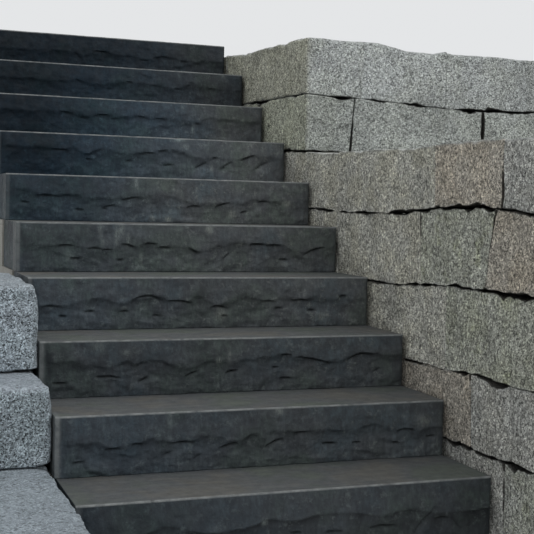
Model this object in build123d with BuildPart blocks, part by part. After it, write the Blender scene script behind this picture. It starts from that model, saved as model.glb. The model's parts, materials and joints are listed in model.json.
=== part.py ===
from build123d import *
from math import sqrt
from random import Random
import os

# A flight of ten stone block steps between two dry-laid granite walls.
# Millimetres, +Z up, +Y up the flight, +X to the right of somebody who climbs.
# The origin is on the ground, at the middle of the foot of the first riser.

# The flight
step_count = 10
step_length = 1200
step_rise = 172
step_going = 285
step_overlap = 40
nosing_chamfer = 4
end_margin = 12
margin_slope = 30
rock_bulge = 22
ridge_height = 84
rock_hollows = 14
hollow_depth = 7
hollow_unevenness = 4
hollow_shift = 0.2
foot_setback = -4

# Where the walls stand
end_joint = 6
wall_thickness = 300
perpend_joint = 8
bed_pitch = 14
bed_shoulder = 26
corner_clip_least = 13
corner_clip_most = 24
face_ripple_least = 1
face_ripple_most = 5
face_knots = 2
knot_shift = 0.1

# The right wall along the flight: five courses, then two more from the corner on
wall_front = -600
course_heights = [222, 219, 254, 237, 211]
course_perpends = [
    [-48, 560],
    [147, 780],
    [-300, 310, 900],
    [60, 485, 1150],
    [11, 405, 1480],
]

# The return of the right wall, and the tier of two courses that follows the corner
return_face = 1494
return_end = 1900
return_perpends = [1420, 1260, 1400, 1240, 1430]
tier_lower_height = 242
tier_upper_height = 233
tier_top_slope = 0.042
tier_corner_back = 2100
tier_slab_back = 2560
tier_lower_perpends = [810, 1438]
tier_upper_perpend = 1254
return_top_drop = 20

# The left cheek: three courses that step forward as they go down
cheek_heights = [200, 228, 262]
cheek_back = 1140
cheek_fronts = [-420, 300, 550]
cheek_perpends = [[330, 760], [720], []]

# Worked out from the sizes above
block_depth = step_going + step_overlap
flight_back = step_count * step_going + step_overlap
wall_face = step_length / 2 + end_joint
wall_outer = wall_face + wall_thickness
return_back = return_face + wall_thickness

os.makedirs("parts", exist_ok=True)


def keep(piece, name):
    """Label a finished piece and write it to its own file."""
    piece.label = name
    export_step(piece, f"parts/{name}.step")


def inward(start, end, amount):
    """Move a side of an anticlockwise outline inward, along its normal."""
    along_x = end[0] - start[0]
    along_y = end[1] - start[1]
    size = sqrt(along_x ** 2 + along_y ** 2)
    shift_x = -along_y / size * amount
    shift_y = along_x / size * amount
    return (start[0] + shift_x, start[1] + shift_y), (end[0] + shift_x, end[1] + shift_y)


def crossing(first, second):
    """Return where two sides, each given by two points, cross when drawn on."""
    (x1, y1), (x2, y2) = first
    (x3, y3), (x4, y4) = second
    spread = (x1 - x2) * (y3 - y4) - (y1 - y2) * (x3 - x4)
    one = x1 * y2 - y1 * x2
    two = x3 * y4 - y3 * x4
    return (one * (x3 - x4) - (x1 - x2) * two) / spread, (one * (y3 - y4) - (y1 - y2) * two) / spread


def knock(dice):
    """Return how much is knocked off a side at one of its corners."""
    return dice.uniform(corner_clip_least, corner_clip_most)


def split_outline(corners, open_sides, dice):
    """Return a stone's outline half way up, and how far each of its edges is pitched back at the beds.

    An open side is split from the rock, so it wanders a little and its corners are knocked off.
    The other sides are the dressed joints, and stay on their lines.
    """
    points = []
    pitches = []
    count = len(corners)
    for index in range(count):
        start = corners[index]
        end = corners[(index + 1) % count]
        size = sqrt((end[0] - start[0]) ** 2 + (end[1] - start[1]) ** 2)
        way = ((end[0] - start[0]) / size, (end[1] - start[1]) / size)
        split = index in open_sides
        first = knock(dice) if split or (index - 1) % count in open_sides else 0
        last = knock(dice) if split or (index + 1) % count in open_sides else 0
        points.append((start[0] + way[0] * first, start[1] + way[1] * first))
        pitches.append(bed_pitch if split else 0)
        if split:
            for knot in range(1, face_knots + 1):
                along = size * (knot / (face_knots + 1) + dice.uniform(-knot_shift, knot_shift))
                depth = dice.uniform(face_ripple_least, face_ripple_most)
                points.append((start[0] + way[0] * along - way[1] * depth,
                               start[1] + way[1] * along + way[0] * depth))
                pitches.append(bed_pitch)
        if last:
            points.append((end[0] - way[0] * last, end[1] - way[1] * last))
            pitches.append(bed_pitch)
    return points, pitches


def bed_outline(points, pitches):
    """Return the outline at a bed: each edge of the outline half way up, moved in by its pitch."""
    count = len(points)
    edges = [inward(points[index], points[(index + 1) % count], pitches[index]) for index in range(count)]
    return [crossing(edges[index - 1], edges[index]) for index in range(count)]


def stone(corners, bottom, top, open_sides, seed, slope=0):
    """Return a granite block with flat beds and pitched, split faces.

    The seed is a name, and gives each block its own unevenness.
    Its top rises by the slope from the first corner of the outline towards +Y.
    """
    middle, pitches = split_outline(corners, open_sides, Random(seed))
    bed = bed_outline(middle, pitches)
    origin_y = corners[0][1]
    levels = [
        (bottom, bed, 0),
        (bottom + bed_shoulder, middle, 0),
        (top - bed_shoulder, middle, slope),
        (top, bed, slope),
    ]
    with BuildPart() as block:
        for height, outline, tilt in levels:
            stretch = sqrt(1 + tilt ** 2)
            level = Plane(origin=(0, origin_y, height), x_dir=(1, 0, 0), z_dir=(0, -tilt, 1))
            with BuildSketch(level):
                with BuildLine():
                    Polyline(*[(x, (y - origin_y) * stretch) for x, y in outline], close=True)
                make_face()
        loft(ruled=True)
    return block.part


def box_corners(x_low, x_high, y_low, y_high):
    """Return the corners of a straight block, anticlockwise from its front left one."""
    return [(x_low, y_low), (x_high, y_low), (x_high, y_high), (x_low, y_high)]


# The sides of a straight block's outline, in the order of its corners
FRONT, RIGHT, BACK, LEFT = range(4)


def rock_plan(front, dice):
    """Return a step block's outline from above: straight behind, and knocked into hollows in front."""
    half = step_length / 2
    inner = half - end_margin
    spacing = 2 * (inner - margin_slope) / rock_hollows
    points = [(half, front + block_depth), (-half, front + block_depth), (-half, front), (-inner, front)]
    for number in range(rock_hollows + 1):
        place = -inner + margin_slope + spacing * number
        if 0 < number < rock_hollows:
            place += spacing * dice.uniform(-hollow_shift, hollow_shift)
        depth = hollow_depth * (number % 2) + dice.uniform(0, hollow_unevenness)
        points.append((place, front - rock_bulge + depth))
    return points + [(inner, front), (half, front)]


# Ten steps, each a single block that bears on the back edge of the one below.
# The riser bulges to a ridge half way up, and the hollows along it break that ridge.
for number in range(step_count):
    front = number * step_going
    foot = number * step_rise
    with BuildPart() as step:
        with BuildSketch(Plane.XY.offset(foot)):
            with BuildLine():
                Polyline(*rock_plan(front, Random(number + 1)), close=True)
            make_face()
        extrude(amount=step_rise)
        with BuildSketch(Plane.YZ.offset(-step_length / 2)):
            with BuildLine():
                Polyline(
                    (front + foot_setback, foot),
                    (front - rock_bulge, foot + ridge_height),
                    (front, foot + step_rise - nosing_chamfer),
                    (front + nosing_chamfer, foot + step_rise),
                    (front + block_depth, foot + step_rise),
                    (front + block_depth, foot),
                    close=True,
                )
            make_face()
        extrude(amount=step_length, mode=Mode.INTERSECT)
    keep(step.part, f"step_{number + 1:02d}")

# The stepped concrete bed under the blocks, poured between the two walls
with BuildPart() as foundation:
    with BuildSketch(Plane.YZ.offset(-wall_face)):
        with BuildLine():
            profile = [(flight_back, 0), (block_depth, 0)]
            for number in range(1, step_count):
                tread = number * step_rise
                profile.append((number * step_going + step_overlap, tread))
                profile.append(((number + 1) * step_going + step_overlap, tread))
            Polyline(*profile, close=True)
        make_face()
    extrude(amount=2 * wall_face)
keep(foundation.part, "foundation")

# The lower right wall: the stones that show, course by course
bed = 0
for course, (height, perpends) in enumerate(zip(course_heights, course_perpends), start=1):
    top = bed + height
    front = wall_front
    for number, perpend in enumerate(perpends, start=1):
        plan = box_corners(wall_face, wall_outer, front, perpend - perpend_joint / 2)
        open_sides = [LEFT, RIGHT] if number > 1 else [LEFT, RIGHT, FRONT]
        name = f"wall_course_{course}_stone_{number}"
        keep(stone(plan, bed, top, open_sides, seed=name), name)
        front = perpend + perpend_joint / 2

    # Behind them, the stones beside the bed of the flight and those under the return
    name = f"wall_course_{course}_rear_stones"
    middle = return_perpends[course - 1]
    beside_bed = box_corners(wall_face, wall_outer, front, flight_back)
    near_corner = box_corners(wall_outer + perpend_joint, middle - perpend_joint / 2, return_face, return_back)
    at_end = box_corners(middle + perpend_joint / 2, return_end, return_face, return_back)
    rear = stone(beside_bed, bed, top, [RIGHT, BACK], seed=name + "_rear")
    inner = stone(near_corner, bed, top, [FRONT, BACK], seed=name + "_inner")
    outer = stone(at_end, bed, top, [FRONT, RIGHT, BACK], seed=name + "_outer")
    with BuildPart() as hidden:
        add(rear)
        add(inner)
        add(outer)
    keep(hidden.part, name)
    bed = top

# The tier: its lower course turns the corner with a narrow stone
tier_bed = bed + tier_lower_height
tier_top = tier_bed + tier_upper_height
first, second = tier_lower_perpends
plan = box_corners(wall_face, first - perpend_joint / 2, return_face, tier_corner_back - perpend_joint / 2)
keep(stone(plan, bed, tier_bed, [FRONT, LEFT, RIGHT], seed="tier_corner_stone"), "tier_corner_stone")
plan = box_corners(first + perpend_joint / 2, second - perpend_joint / 2, return_face, return_back)
keep(stone(plan, bed, tier_bed, [FRONT, BACK], seed="tier_return_stone_1"), "tier_return_stone_1")
plan = box_corners(second + perpend_joint / 2, return_end, return_face, return_back)
keep(stone(plan, bed, tier_bed, [FRONT, RIGHT, BACK], seed="tier_return_stone_2"), "tier_return_stone_2")
plan = box_corners(wall_face, wall_outer, tier_corner_back + perpend_joint / 2, flight_back)
keep(stone(plan, bed, tier_bed, [RIGHT, BACK], seed="tier_rear_stone"), "tier_rear_stone")

# Its upper course turns the corner with a broad slab that narrows towards the back
slab_end = tier_upper_perpend - perpend_joint / 2
slab_back = tier_slab_back - perpend_joint / 2
plan = [(wall_face, return_face), (slab_end, return_face), (wall_outer, slab_back), (wall_face, slab_back)]
slab = stone(plan, tier_bed, tier_top, [FRONT, RIGHT, LEFT], seed="tier_corner_slab", slope=tier_top_slope)
keep(slab, "tier_corner_slab")
plan = box_corners(tier_upper_perpend + perpend_joint / 2, return_end, return_face, return_back)
slab = stone(plan, tier_bed, tier_top - return_top_drop, [FRONT, RIGHT, BACK], seed="tier_return_slab")
keep(slab, "tier_return_slab")
plan = box_corners(wall_face, wall_outer, tier_slab_back + perpend_joint / 2, flight_back)
rear_top = tier_top + tier_top_slope * (tier_slab_back - return_face)
keep(stone(plan, tier_bed, rear_top, [LEFT, RIGHT, BACK], seed="tier_rear_slab"), "tier_rear_slab")

# The left cheek, whose top stones each stop short of the one below
bed = 0
for course, height in enumerate(cheek_heights, start=1):
    top = bed + height
    front = cheek_fronts[course - 1]
    ends = cheek_perpends[course - 1] + [cheek_back]
    for number, end in enumerate(ends, start=1):
        last = number == len(ends)
        back = end if last else end - perpend_joint / 2
        open_sides = [LEFT, RIGHT]
        if number == 1:
            open_sides.append(FRONT)
        if last:
            open_sides.append(BACK)
            if course < len(cheek_heights):
                open_sides.remove(RIGHT)
        name = f"cheek_course_{course}_stone_{number}"
        plan = box_corners(-wall_outer, -wall_face, front, back)
        keep(stone(plan, bed, top, open_sides, seed=name), name)
        front = end + perpend_joint / 2
    bed = top
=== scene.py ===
"""Dress the outdoor stone steps: rock-faced basalt blocks between walls of split granite.

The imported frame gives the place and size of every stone. Each stone is cut from a cube into fine cells at
that place, its arrises are rounded and chipped, its joints wander with those of its neighbours, and its
open sides get the relief of the real finish. Lengths are in metres, unless a name ends in _mm.
"""

import json
import logging
import math
from dataclasses import dataclass, field
from enum import Enum
from itertools import combinations
from random import Random
from typing import Iterator

import bpy
import numpy as np
from mathutils import Matrix, Vector, noise

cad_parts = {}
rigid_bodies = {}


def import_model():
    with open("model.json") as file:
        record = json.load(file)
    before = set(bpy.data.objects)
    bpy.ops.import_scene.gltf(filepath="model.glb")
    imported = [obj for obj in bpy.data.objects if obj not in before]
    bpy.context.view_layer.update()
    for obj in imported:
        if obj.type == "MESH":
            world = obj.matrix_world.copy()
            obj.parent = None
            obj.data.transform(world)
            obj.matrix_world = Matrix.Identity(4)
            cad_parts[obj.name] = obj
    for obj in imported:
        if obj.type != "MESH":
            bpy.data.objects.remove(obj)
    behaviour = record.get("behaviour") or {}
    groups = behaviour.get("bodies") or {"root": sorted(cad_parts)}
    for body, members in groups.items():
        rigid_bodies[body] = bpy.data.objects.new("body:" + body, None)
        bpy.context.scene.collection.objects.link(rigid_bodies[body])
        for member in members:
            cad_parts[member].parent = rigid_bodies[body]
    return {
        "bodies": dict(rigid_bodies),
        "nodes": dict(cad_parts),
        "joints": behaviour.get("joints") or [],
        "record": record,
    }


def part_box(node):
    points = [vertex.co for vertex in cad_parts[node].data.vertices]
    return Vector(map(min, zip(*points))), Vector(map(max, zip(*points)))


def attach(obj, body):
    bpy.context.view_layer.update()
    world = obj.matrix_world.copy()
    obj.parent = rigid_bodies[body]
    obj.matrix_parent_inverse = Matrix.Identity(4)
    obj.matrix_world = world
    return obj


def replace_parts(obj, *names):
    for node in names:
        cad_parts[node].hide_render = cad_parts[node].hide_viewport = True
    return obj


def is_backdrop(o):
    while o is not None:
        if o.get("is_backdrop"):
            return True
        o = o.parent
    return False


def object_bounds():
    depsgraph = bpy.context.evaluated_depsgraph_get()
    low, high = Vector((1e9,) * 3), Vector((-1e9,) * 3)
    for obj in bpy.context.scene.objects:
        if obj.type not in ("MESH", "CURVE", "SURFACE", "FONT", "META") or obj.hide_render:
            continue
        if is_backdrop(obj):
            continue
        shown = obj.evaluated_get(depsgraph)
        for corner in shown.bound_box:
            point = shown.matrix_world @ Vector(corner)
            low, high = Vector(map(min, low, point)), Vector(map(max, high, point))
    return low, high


Piece = bpy.types.Object
Material = bpy.types.Material
Array = np.ndarray
Socket = bpy.types.NodeSocket
Triple = tuple[float, float, float]
Colour = tuple[int, int, int]

LOG = logging.getLogger("stone_steps")

MM = 0.001

# How far the end of a stone's node lies from the middle of its upright joint
HALF_JOINT = 4 * MM

# How far inside a side the lines between cells fall, where the cells narrow towards it
FINE_LEAD = (0.0, 2 * MM, 5 * MM, 9 * MM, 20 * MM, 45 * MM)
COARSE_LEAD = (0.0, 4 * MM, 10 * MM, 25 * MM)


class Side(Enum):
    """The sides of a block: the axis that each faces along, and 0 for its low end or 1 for its high one."""

    LEFT = (0, 0)
    RIGHT = (0, 1)
    FRONT = (1, 0)
    BACK = (1, 1)
    BOTTOM = (2, 0)
    TOP = (2, 1)

    @property
    def axis(self) -> int:
        """The axis that the side faces along."""
        return self.value[0]

    @property
    def outward(self) -> float:
        """The sign of the side's normal on its axis."""
        return 2.0 * self.value[1] - 1.0

    def edge(self, low: Array, high: Array) -> float:
        """Where the side lies on its axis, on a block with these two corners."""
        return (low, high)[self.value[1]][self.axis]


def ripple(points: Array, wavelength: float, seed: float = 0.0) -> Array:
    """Sample smooth noise at many points.

    Args:
        points: One row for each point.
        wavelength: The size of the noise's bumps.
        seed: A number that picks another pattern.

    Returns:
        A value for each point, from about -1 to 1.
    """
    shift = np.array([seed * 1.71, seed * 2.33, seed * 0.97])
    return np.array([noise.noise(Vector(point)) for point in points / wavelength + shift])


def smooth_step(values: Array, start: float, end: float) -> Array:
    """Rise smoothly from 0 at start to 1 at end.

    Args:
        values: Where to read the curve.
        start: The value up to which the result is 0.
        end: The value from which the result is 1.

    Returns:
        The curve at each value.
    """
    share = np.clip((values - start) / (end - start), 0.0, 1.0)
    return share * share * (3.0 - 2.0 * share)


def falloff(distance: Array, reach: float, power: int = 2) -> Array:
    """Fall from 1 at no distance to almost nothing past the reach, more abruptly at a higher power."""
    return np.exp(-((distance / reach) ** power))


def sheet(across: Array, up: Array | float = 0.0) -> Array:
    """Lay points out on a flat sheet, or on a straight line where only one coordinate is given."""
    return np.stack(np.broadcast_arrays(across, up, 0.0), axis=1)


def activate(*pieces: Piece) -> None:
    """Select these pieces alone, so that an operator acts on them. The first one becomes active."""
    bpy.ops.object.select_all(action="DESELECT")
    for piece in pieces:
        piece.select_set(True)
    bpy.context.view_layer.objects.active = pieces[0]


def read(items: bpy.types.bpy_prop_collection, key: str, width: int, kind: type = float) -> Array:
    """Read a property of a mesh's vertices, edges or faces.

    Args:
        items: The mesh's collection of them.
        key: The name of the property.
        width: How many numbers it has.
        kind: The type of its numbers.

    Returns:
        One row for each of them.
    """
    values = np.zeros(len(items) * width, kind)
    items.foreach_get(key, values)
    return values.reshape(-1, width)


@dataclass(frozen=True)
class Opening:
    """A stretch where a joint gapes because its arrises are broken away.

    The stretch runs from start_mm to end_mm along the wall, and is width_mm high in its middle. It narrows
    within ease_mm of its ends, or within a third of its length where that is less.
    """

    start_mm: float
    end_mm: float
    width_mm: float
    ease_mm: float = 40.0

    def width(self, along: Array) -> Array:
        """The opening's height in metres at each place along the wall."""
        ease = min(self.ease_mm, (self.end_mm - self.start_mm) / 3)
        place = along / MM
        begun = smooth_step(place, self.start_mm - ease, self.start_mm + ease)
        ended = smooth_step(place, self.end_mm - ease, self.end_mm + ease)
        return self.width_mm * MM * begun * (1.0 - ended)


@dataclass(frozen=True)
class Run:
    """How a bed joint runs along one face of a wall.

    Knots are (place_mm, lift_mm) pairs between which its line wanders; openings are where it gapes.
    """

    knots: tuple[tuple[float, float], ...] = ((0.0, 0.0),)
    openings: tuple[Opening, ...] = ()

    def lift(self, along: Array) -> Array:
        """How far the joint lies above its level, in metres, at each place along the wall."""
        places, lifts = zip(*self.knots)
        return np.interp(along / MM, places, lifts) * MM

    def gap(self, along: Array) -> Array:
        """How far the joint gapes, in metres, at each place along the wall."""
        return sum((opening.width(along) for opening in self.openings), np.zeros(len(along)))


@dataclass(frozen=True)
class Seam:
    """A bed joint between two courses, shared by the stones on both its sides.

    Corner is where the two faces of its wall stand, as x and y. Wander is how far its line strays,
    tight_gap how far it gapes where its arrises are whole, and reach how deep into the wall it gapes.
    """

    level: float
    flight_side: Run = Run()
    return_side: Run = Run()
    corner: tuple[float, float] = (0.606, 1.494)
    wander: float = 2.5 * MM
    tight_gap: float = 2.2 * MM
    reach: float = 85 * MM

    def flatten(self, points: Array) -> Array:
        """Bring points to the joint's level, where the stones on both its sides read the same noise."""
        return np.column_stack([points[:, :2], np.full(len(points), self.level)])

    def lift(self, points: Array) -> Array:
        """How far the joint lies above its level at each point."""
        common = self.return_side.knots[0][1] * MM
        lift = self.flight_side.lift(points[:, 1]) + self.return_side.lift(points[:, 0]) - common
        flat = self.flatten(points)
        broad = self.wander * ripple(flat, 0.12, self.level)
        return lift + broad + 0.6 * self.wander * ripple(flat, 0.04, self.level)

    def gap(self, points: Array) -> Array:
        """How far the joint gapes at each point: most at the wall's face, and closed deeper in."""
        flat = self.flatten(points)
        broken = smooth_step(ripple(flat, 0.045, self.level + 3.0), -0.10, 0.10)
        uneven = 0.60 + 0.75 * broken + 0.55 * ripple(flat, 0.018, self.level + 5.0)
        flight_share = falloff(points[:, 0] - self.corner[0], self.reach, 4)
        return_share = falloff(points[:, 1] - self.corner[1], self.reach, 4)
        gap = self.flight_side.gap(points[:, 1]) * flight_share
        gap = gap + self.return_side.gap(points[:, 0]) * return_share
        ragged = 1.5 + 2.5 * ripple(flat, 0.035, self.level + 9.0)
        return gap * np.clip(uneven, 0.2, None) + self.tight_gap * np.clip(ragged, 0.1, None)

    def part(self, points: Array) -> Array:
        """Which share of the gap the stone above the joint leaves open."""
        return np.clip(0.4 + 0.7 * ripple(self.flatten(points), 0.06, self.level + 7.0), 0.0, 1.0)


@dataclass(frozen=True)
class Perpend:
    """An upright joint between two stones of a course.

    It leans from foot_shift to head_shift, gapes by foot_gap to head_gap at the face of the wall, and its
    arrises are broken to a width of broken. Closing is how far each stone reaches past its node's end, and
    wander how far the joint strays from its line.
    """

    foot_shift: float = 0.0
    head_shift: float = 0.0
    foot_gap: float = 0.0
    head_gap: float = 0.0
    broken: float = 3 * MM
    closing: float = 3.4 * MM
    wander: float = 2.5 * MM

    HEIGHT_ONLY = (0.0, 0.0, 1.0)

    def shift(self, points: Array, share: Array, seed: float) -> Array:
        """How far the joint lies beside its nominal line.

        Args:
            points: Where to read it.
            share: How far up the course each point is, from 0 to 1.
            seed: A number that both stones beside the joint share.

        Returns:
            The shift of each point along the wall.
        """
        line = points * self.HEIGHT_ONLY
        lean = self.foot_shift + (self.head_shift - self.foot_shift) * share
        return lean + self.wander * ripple(line, 0.09, seed) + 0.4 * self.wander * ripple(line, 0.025, seed)

    def half_gap(self, points: Array, share: Array, seed: float) -> Array:
        """Half of how far the joint gapes at each point of the wall's face."""
        line = points * self.HEIGHT_ONLY
        gap = self.foot_gap + (self.head_gap - self.foot_gap) * share
        return 0.5 * gap * np.clip(1.0 + 0.5 * ripple(line, 0.04, seed + 3.0), 0.1, None)


@dataclass(frozen=True)
class Chip:
    """A piece broken out of an arris, at a place along it."""

    place: float
    half_length: float
    depth: float


@dataclass(frozen=True)
class Arris:
    """The arris between two sides of a stone, with its wear and the chips that are missing.

    Lean is how far the cut turns from the first side, at 0, to the second one, at 1. Rounding is how wide
    the stone is rounded on each of the two sides before the arris wears.
    """

    first: Side
    second: Side
    wear: float
    chips: tuple[Chip, ...]
    lean: float = 0.5
    rounding: tuple[float, float] = (0.0, 0.0)

    def clip(self, points: Array, low: Array, high: Array, seed: float) -> Array:
        """Cut the arris off along its chips.

        Args:
            points: The points of the stone.
            low: The stone's lowest corner.
            high: Its highest corner.
            seed: A number that picks the pattern of the wear.

        Returns:
            The points after the cut.
        """
        along = points[:, 3 - self.first.axis - self.second.axis]
        weights = np.array([math.cos(self.lean * math.pi / 2), math.sin(self.lean * math.pi / 2)])
        normal = np.zeros(3)
        reach = np.zeros(len(points))
        for side, weight in zip((self.first, self.second), weights):
            normal[side.axis] = side.outward * weight
            reach += weight * side.outward * (points[:, side.axis] - side.edge(low, high))
        line = sheet(along)
        rounding = weights * np.array(self.rounding)
        gone = rounding.sum() - math.hypot(*rounding)
        uneven = np.clip(1.0 + 0.9 * ripple(line, 0.07, seed) + 0.5 * ripple(line, 0.02, seed), 0.2, None)
        cut = gone + self.wear * uneven
        for chip in self.chips:
            bite = np.sqrt(np.clip(1.0 - ((along - chip.place) / chip.half_length) ** 2, 0.0, 1.0))
            cut = np.maximum(cut, (gone + chip.depth) * bite)
        excess = np.clip(reach + cut, 0.0, None)
        return points - excess[:, None] * normal


def facets(across: Array, up: Array, dice: Random, size: float, tilt: float, step: float,
           blend: float = 0.28, stray: float = 0.42, batch: int = 4000) -> Array:
    """Break a surface into flat patches that meet in soft ridges.

    Args:
        across: The first coordinate of each point of the surface.
        up: The second one.
        dice: What the patches are drawn with.
        size: How wide a patch is, about.
        tilt: The steepest slope of a patch.
        step: How far a patch may stand out or back.
        blend: How soft the ridges are, as a share of the size.
        stray: How far the middle of a patch strays from an even grid, as a share of the size.
        batch: How many points are worked out at once.

    Returns:
        The height of each point, about 0 on average.
    """
    columns = np.arange(across.min() - size, across.max() + 2 * size, size)
    rows = np.arange(up.min() - size, up.max() + 2 * size, size)
    centres = np.array([
        (column + dice.uniform(-stray, stray) * size, row + dice.uniform(-stray, stray) * size)
        for column in columns for row in rows])
    planes = np.array([(dice.uniform(-tilt, tilt), dice.uniform(-tilt, tilt), dice.uniform(-step, step))
                       for _ in centres])
    height = np.zeros(len(across))
    for start in range(0, len(across), batch):
        part = slice(start, start + batch)
        over = across[part, None] - centres[None, :, 0]
        rise = up[part, None] - centres[None, :, 1]
        nearness = -(over ** 2 + rise ** 2) / (2 * (blend * size) ** 2)
        weight = np.exp(nearness - nearness.max(axis=1, keepdims=True))
        value = over * planes[:, 0] + rise * planes[:, 1] + planes[:, 2]
        height[part] = (weight * value).sum(axis=1) / weight.sum(axis=1)
    return height


@dataclass
class Block:
    """A stone as it comes from the saw: a cube at its size and place, cut into fine cells.

    The cells are narrow at the arrises, where the stone is rounded, and even in between. Most_cuts is how
    many pieces an edge is cut into at once, and hair a distance that counts as none.
    """

    name: str
    low: Array
    high: Array
    cells: Triple
    leads: tuple[tuple[float, ...], ...]
    piece: Piece = field(init=False)
    most_cuts: int = field(default=4, init=False)
    hair: float = field(default=0.05 * MM, init=False)

    def lines(self, axis: int) -> Array:
        """Return where the lines between cells fall along an axis."""
        lead = np.array(self.leads[axis])
        length = self.high[axis] - self.low[axis] - 2 * lead[-1]
        count = max(2, round(length / self.cells[axis]))
        while (count + 2 * (len(lead) - 1)) % self.most_cuts:
            count += 1
        inner = np.linspace(self.low[axis] + lead[-1], self.high[axis] - lead[-1], count + 1)
        return np.concatenate([self.low[axis] + lead[:-1], inner, self.high[axis] - lead[-2::-1]])

    def split_along(self, axis: int, count: int) -> None:
        """Subdivide the edges that run along an axis, each into count pieces.

        Args:
            axis: The axis, 0 to 2.
            count: How many pieces each edge becomes.
        """
        mesh = self.piece.data
        ends = read(mesh.vertices, "co", 3)[read(mesh.edges, "vertices", 2, int)]
        along = np.argmax(np.abs(ends[:, 1] - ends[:, 0]), axis=1) == axis
        mesh.vertices.foreach_set("select", np.zeros(len(mesh.vertices), bool))
        mesh.polygons.foreach_set("select", np.zeros(len(mesh.polygons), bool))
        mesh.edges.foreach_set("select", along)
        bpy.ops.object.mode_set(mode="EDIT")
        bpy.ops.mesh.subdivide(number_cuts=count - 1)
        bpy.ops.object.mode_set(mode="OBJECT")

    def cut(self) -> Array:
        """Make the block and cut it into cells.

        Returns:
            The place of each vertex, with the cells in their final places.
        """
        size = self.high - self.low
        bpy.ops.mesh.primitive_cube_add(size=1.0, location=(self.low + self.high) / 2, scale=size)
        self.piece = bpy.context.active_object
        self.piece.name = self.name
        self.piece.data.name = self.name
        bpy.ops.object.transform_apply(location=True, rotation=True, scale=True)
        bpy.context.tool_settings.mesh_select_mode = (False, True, False)
        lines = [self.lines(axis) for axis in range(3)]
        for axis, places in enumerate(lines):
            self.split_along(axis, (len(places) - 1) // self.most_cuts)
            self.split_along(axis, self.most_cuts)
        points = read(self.piece.data.vertices, "co", 3)
        share = (points - self.low) / size
        for axis, places in enumerate(lines):
            number = np.rint(share[:, axis] * (len(places) - 1)).astype(int)
            points[:, axis] = places[number]
        return points

    def place(self, points: Array) -> None:
        """Move the vertices to their places."""
        self.piece.data.vertices.foreach_set("co", points.ravel())
        self.piece.data.update()

    def merge_hidden(self, sides: tuple[Side, ...]) -> None:
        """Merge the cells of flat sides that are never seen, inside their arrises."""
        mesh = self.piece.data
        bpy.context.tool_settings.mesh_select_mode = (False, False, True)
        for side in sides:
            centres = read(mesh.polygons, "center", 3)
            chosen = np.abs(centres[:, side.axis] - side.edge(self.low, self.high)) < self.hair
            for axis in {0, 1, 2} - {side.axis}:
                margin = self.leads[axis][-1] - 2 * self.hair
                chosen &= centres[:, axis] > self.low[axis] + margin
                chosen &= centres[:, axis] < self.high[axis] - margin
            bpy.ops.object.mode_set(mode="EDIT")
            bpy.ops.mesh.select_all(action="DESELECT")
            bpy.ops.object.mode_set(mode="OBJECT")
            mesh.polygons.foreach_set("select", chosen)
            bpy.ops.object.mode_set(mode="EDIT")
            bpy.ops.mesh.dissolve_faces()
            bpy.ops.object.mode_set(mode="OBJECT")

    def paint(self, layer: str, values: Array) -> None:
        """Keep a value for each vertex, which the finish reads."""
        attribute = self.piece.data.attributes.new(layer, "FLOAT", "POINT")
        attribute.data.foreach_set("value", values.astype(np.float32))

    def roughen(self, weights: Array, grain: float, strength: float, steps: int = 4) -> None:
        """Break up the open sides with a fine relief.

        Args:
            weights: How far each vertex takes part, from 0 to 1.
            grain: The size of the relief's bumps.
            strength: Its height.
            steps: How many different weights are told apart.
        """
        group = self.piece.vertex_groups.new(name="open sides")
        for step in range(1, steps + 1):
            chosen = np.flatnonzero(np.rint(weights * steps) == step)
            group.add(chosen.tolist(), step / steps, "REPLACE")
        texture = bpy.data.textures.new(f"{self.name} relief", "CLOUDS")
        texture.noise_scale = grain
        texture.noise_depth = 2
        relief = self.piece.modifiers.new("relief", "DISPLACE")
        relief.texture = texture
        relief.texture_coords = "LOCAL"
        relief.vertex_group = group.name
        relief.strength = strength
        relief.mid_level = 1.0
        activate(self.piece)
        bpy.ops.object.modifier_apply(modifier=relief.name)
        self.piece.vertex_groups.clear()

    def finish(self, material: Material, slot: str, crease: float = 38.0) -> Piece:
        """Shade the stone, give it its material and hang it on the frame.

        Args:
            material: The finish.
            slot: The record's material slot, which is not used.
            crease: The angle in degrees past which an edge stays sharp.

        Returns:
            The finished piece.
        """
        activate(self.piece)
        bpy.ops.object.shade_smooth_by_angle(angle=math.radians(crease))
        self.piece.data.materials.append(material)
        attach(self.piece, "root")
        return self.piece


def rounded(points: Array, low: Array, high: Array, inset_low: Array,
            inset_high: Array) -> tuple[Array, Array]:
    """Round the arrises of a box.

    Args:
        points: Points on the box.
        low: The box's lowest corner.
        high: Its highest corner.
        inset_low: For each point, how wide the rounding is from the low side of each axis.
        inset_high: The same from the high sides.

    Returns:
        The rounded points, and the normal at each.
    """
    core = np.clip(points, low + inset_low, high - inset_high)
    inset = np.where(points < core, inset_low, inset_high)
    reach = (points - core) / inset
    length = np.maximum(np.linalg.norm(reach, axis=1, keepdims=True), 1e-9)
    normal = reach / length
    return core + normal * inset, normal


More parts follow.
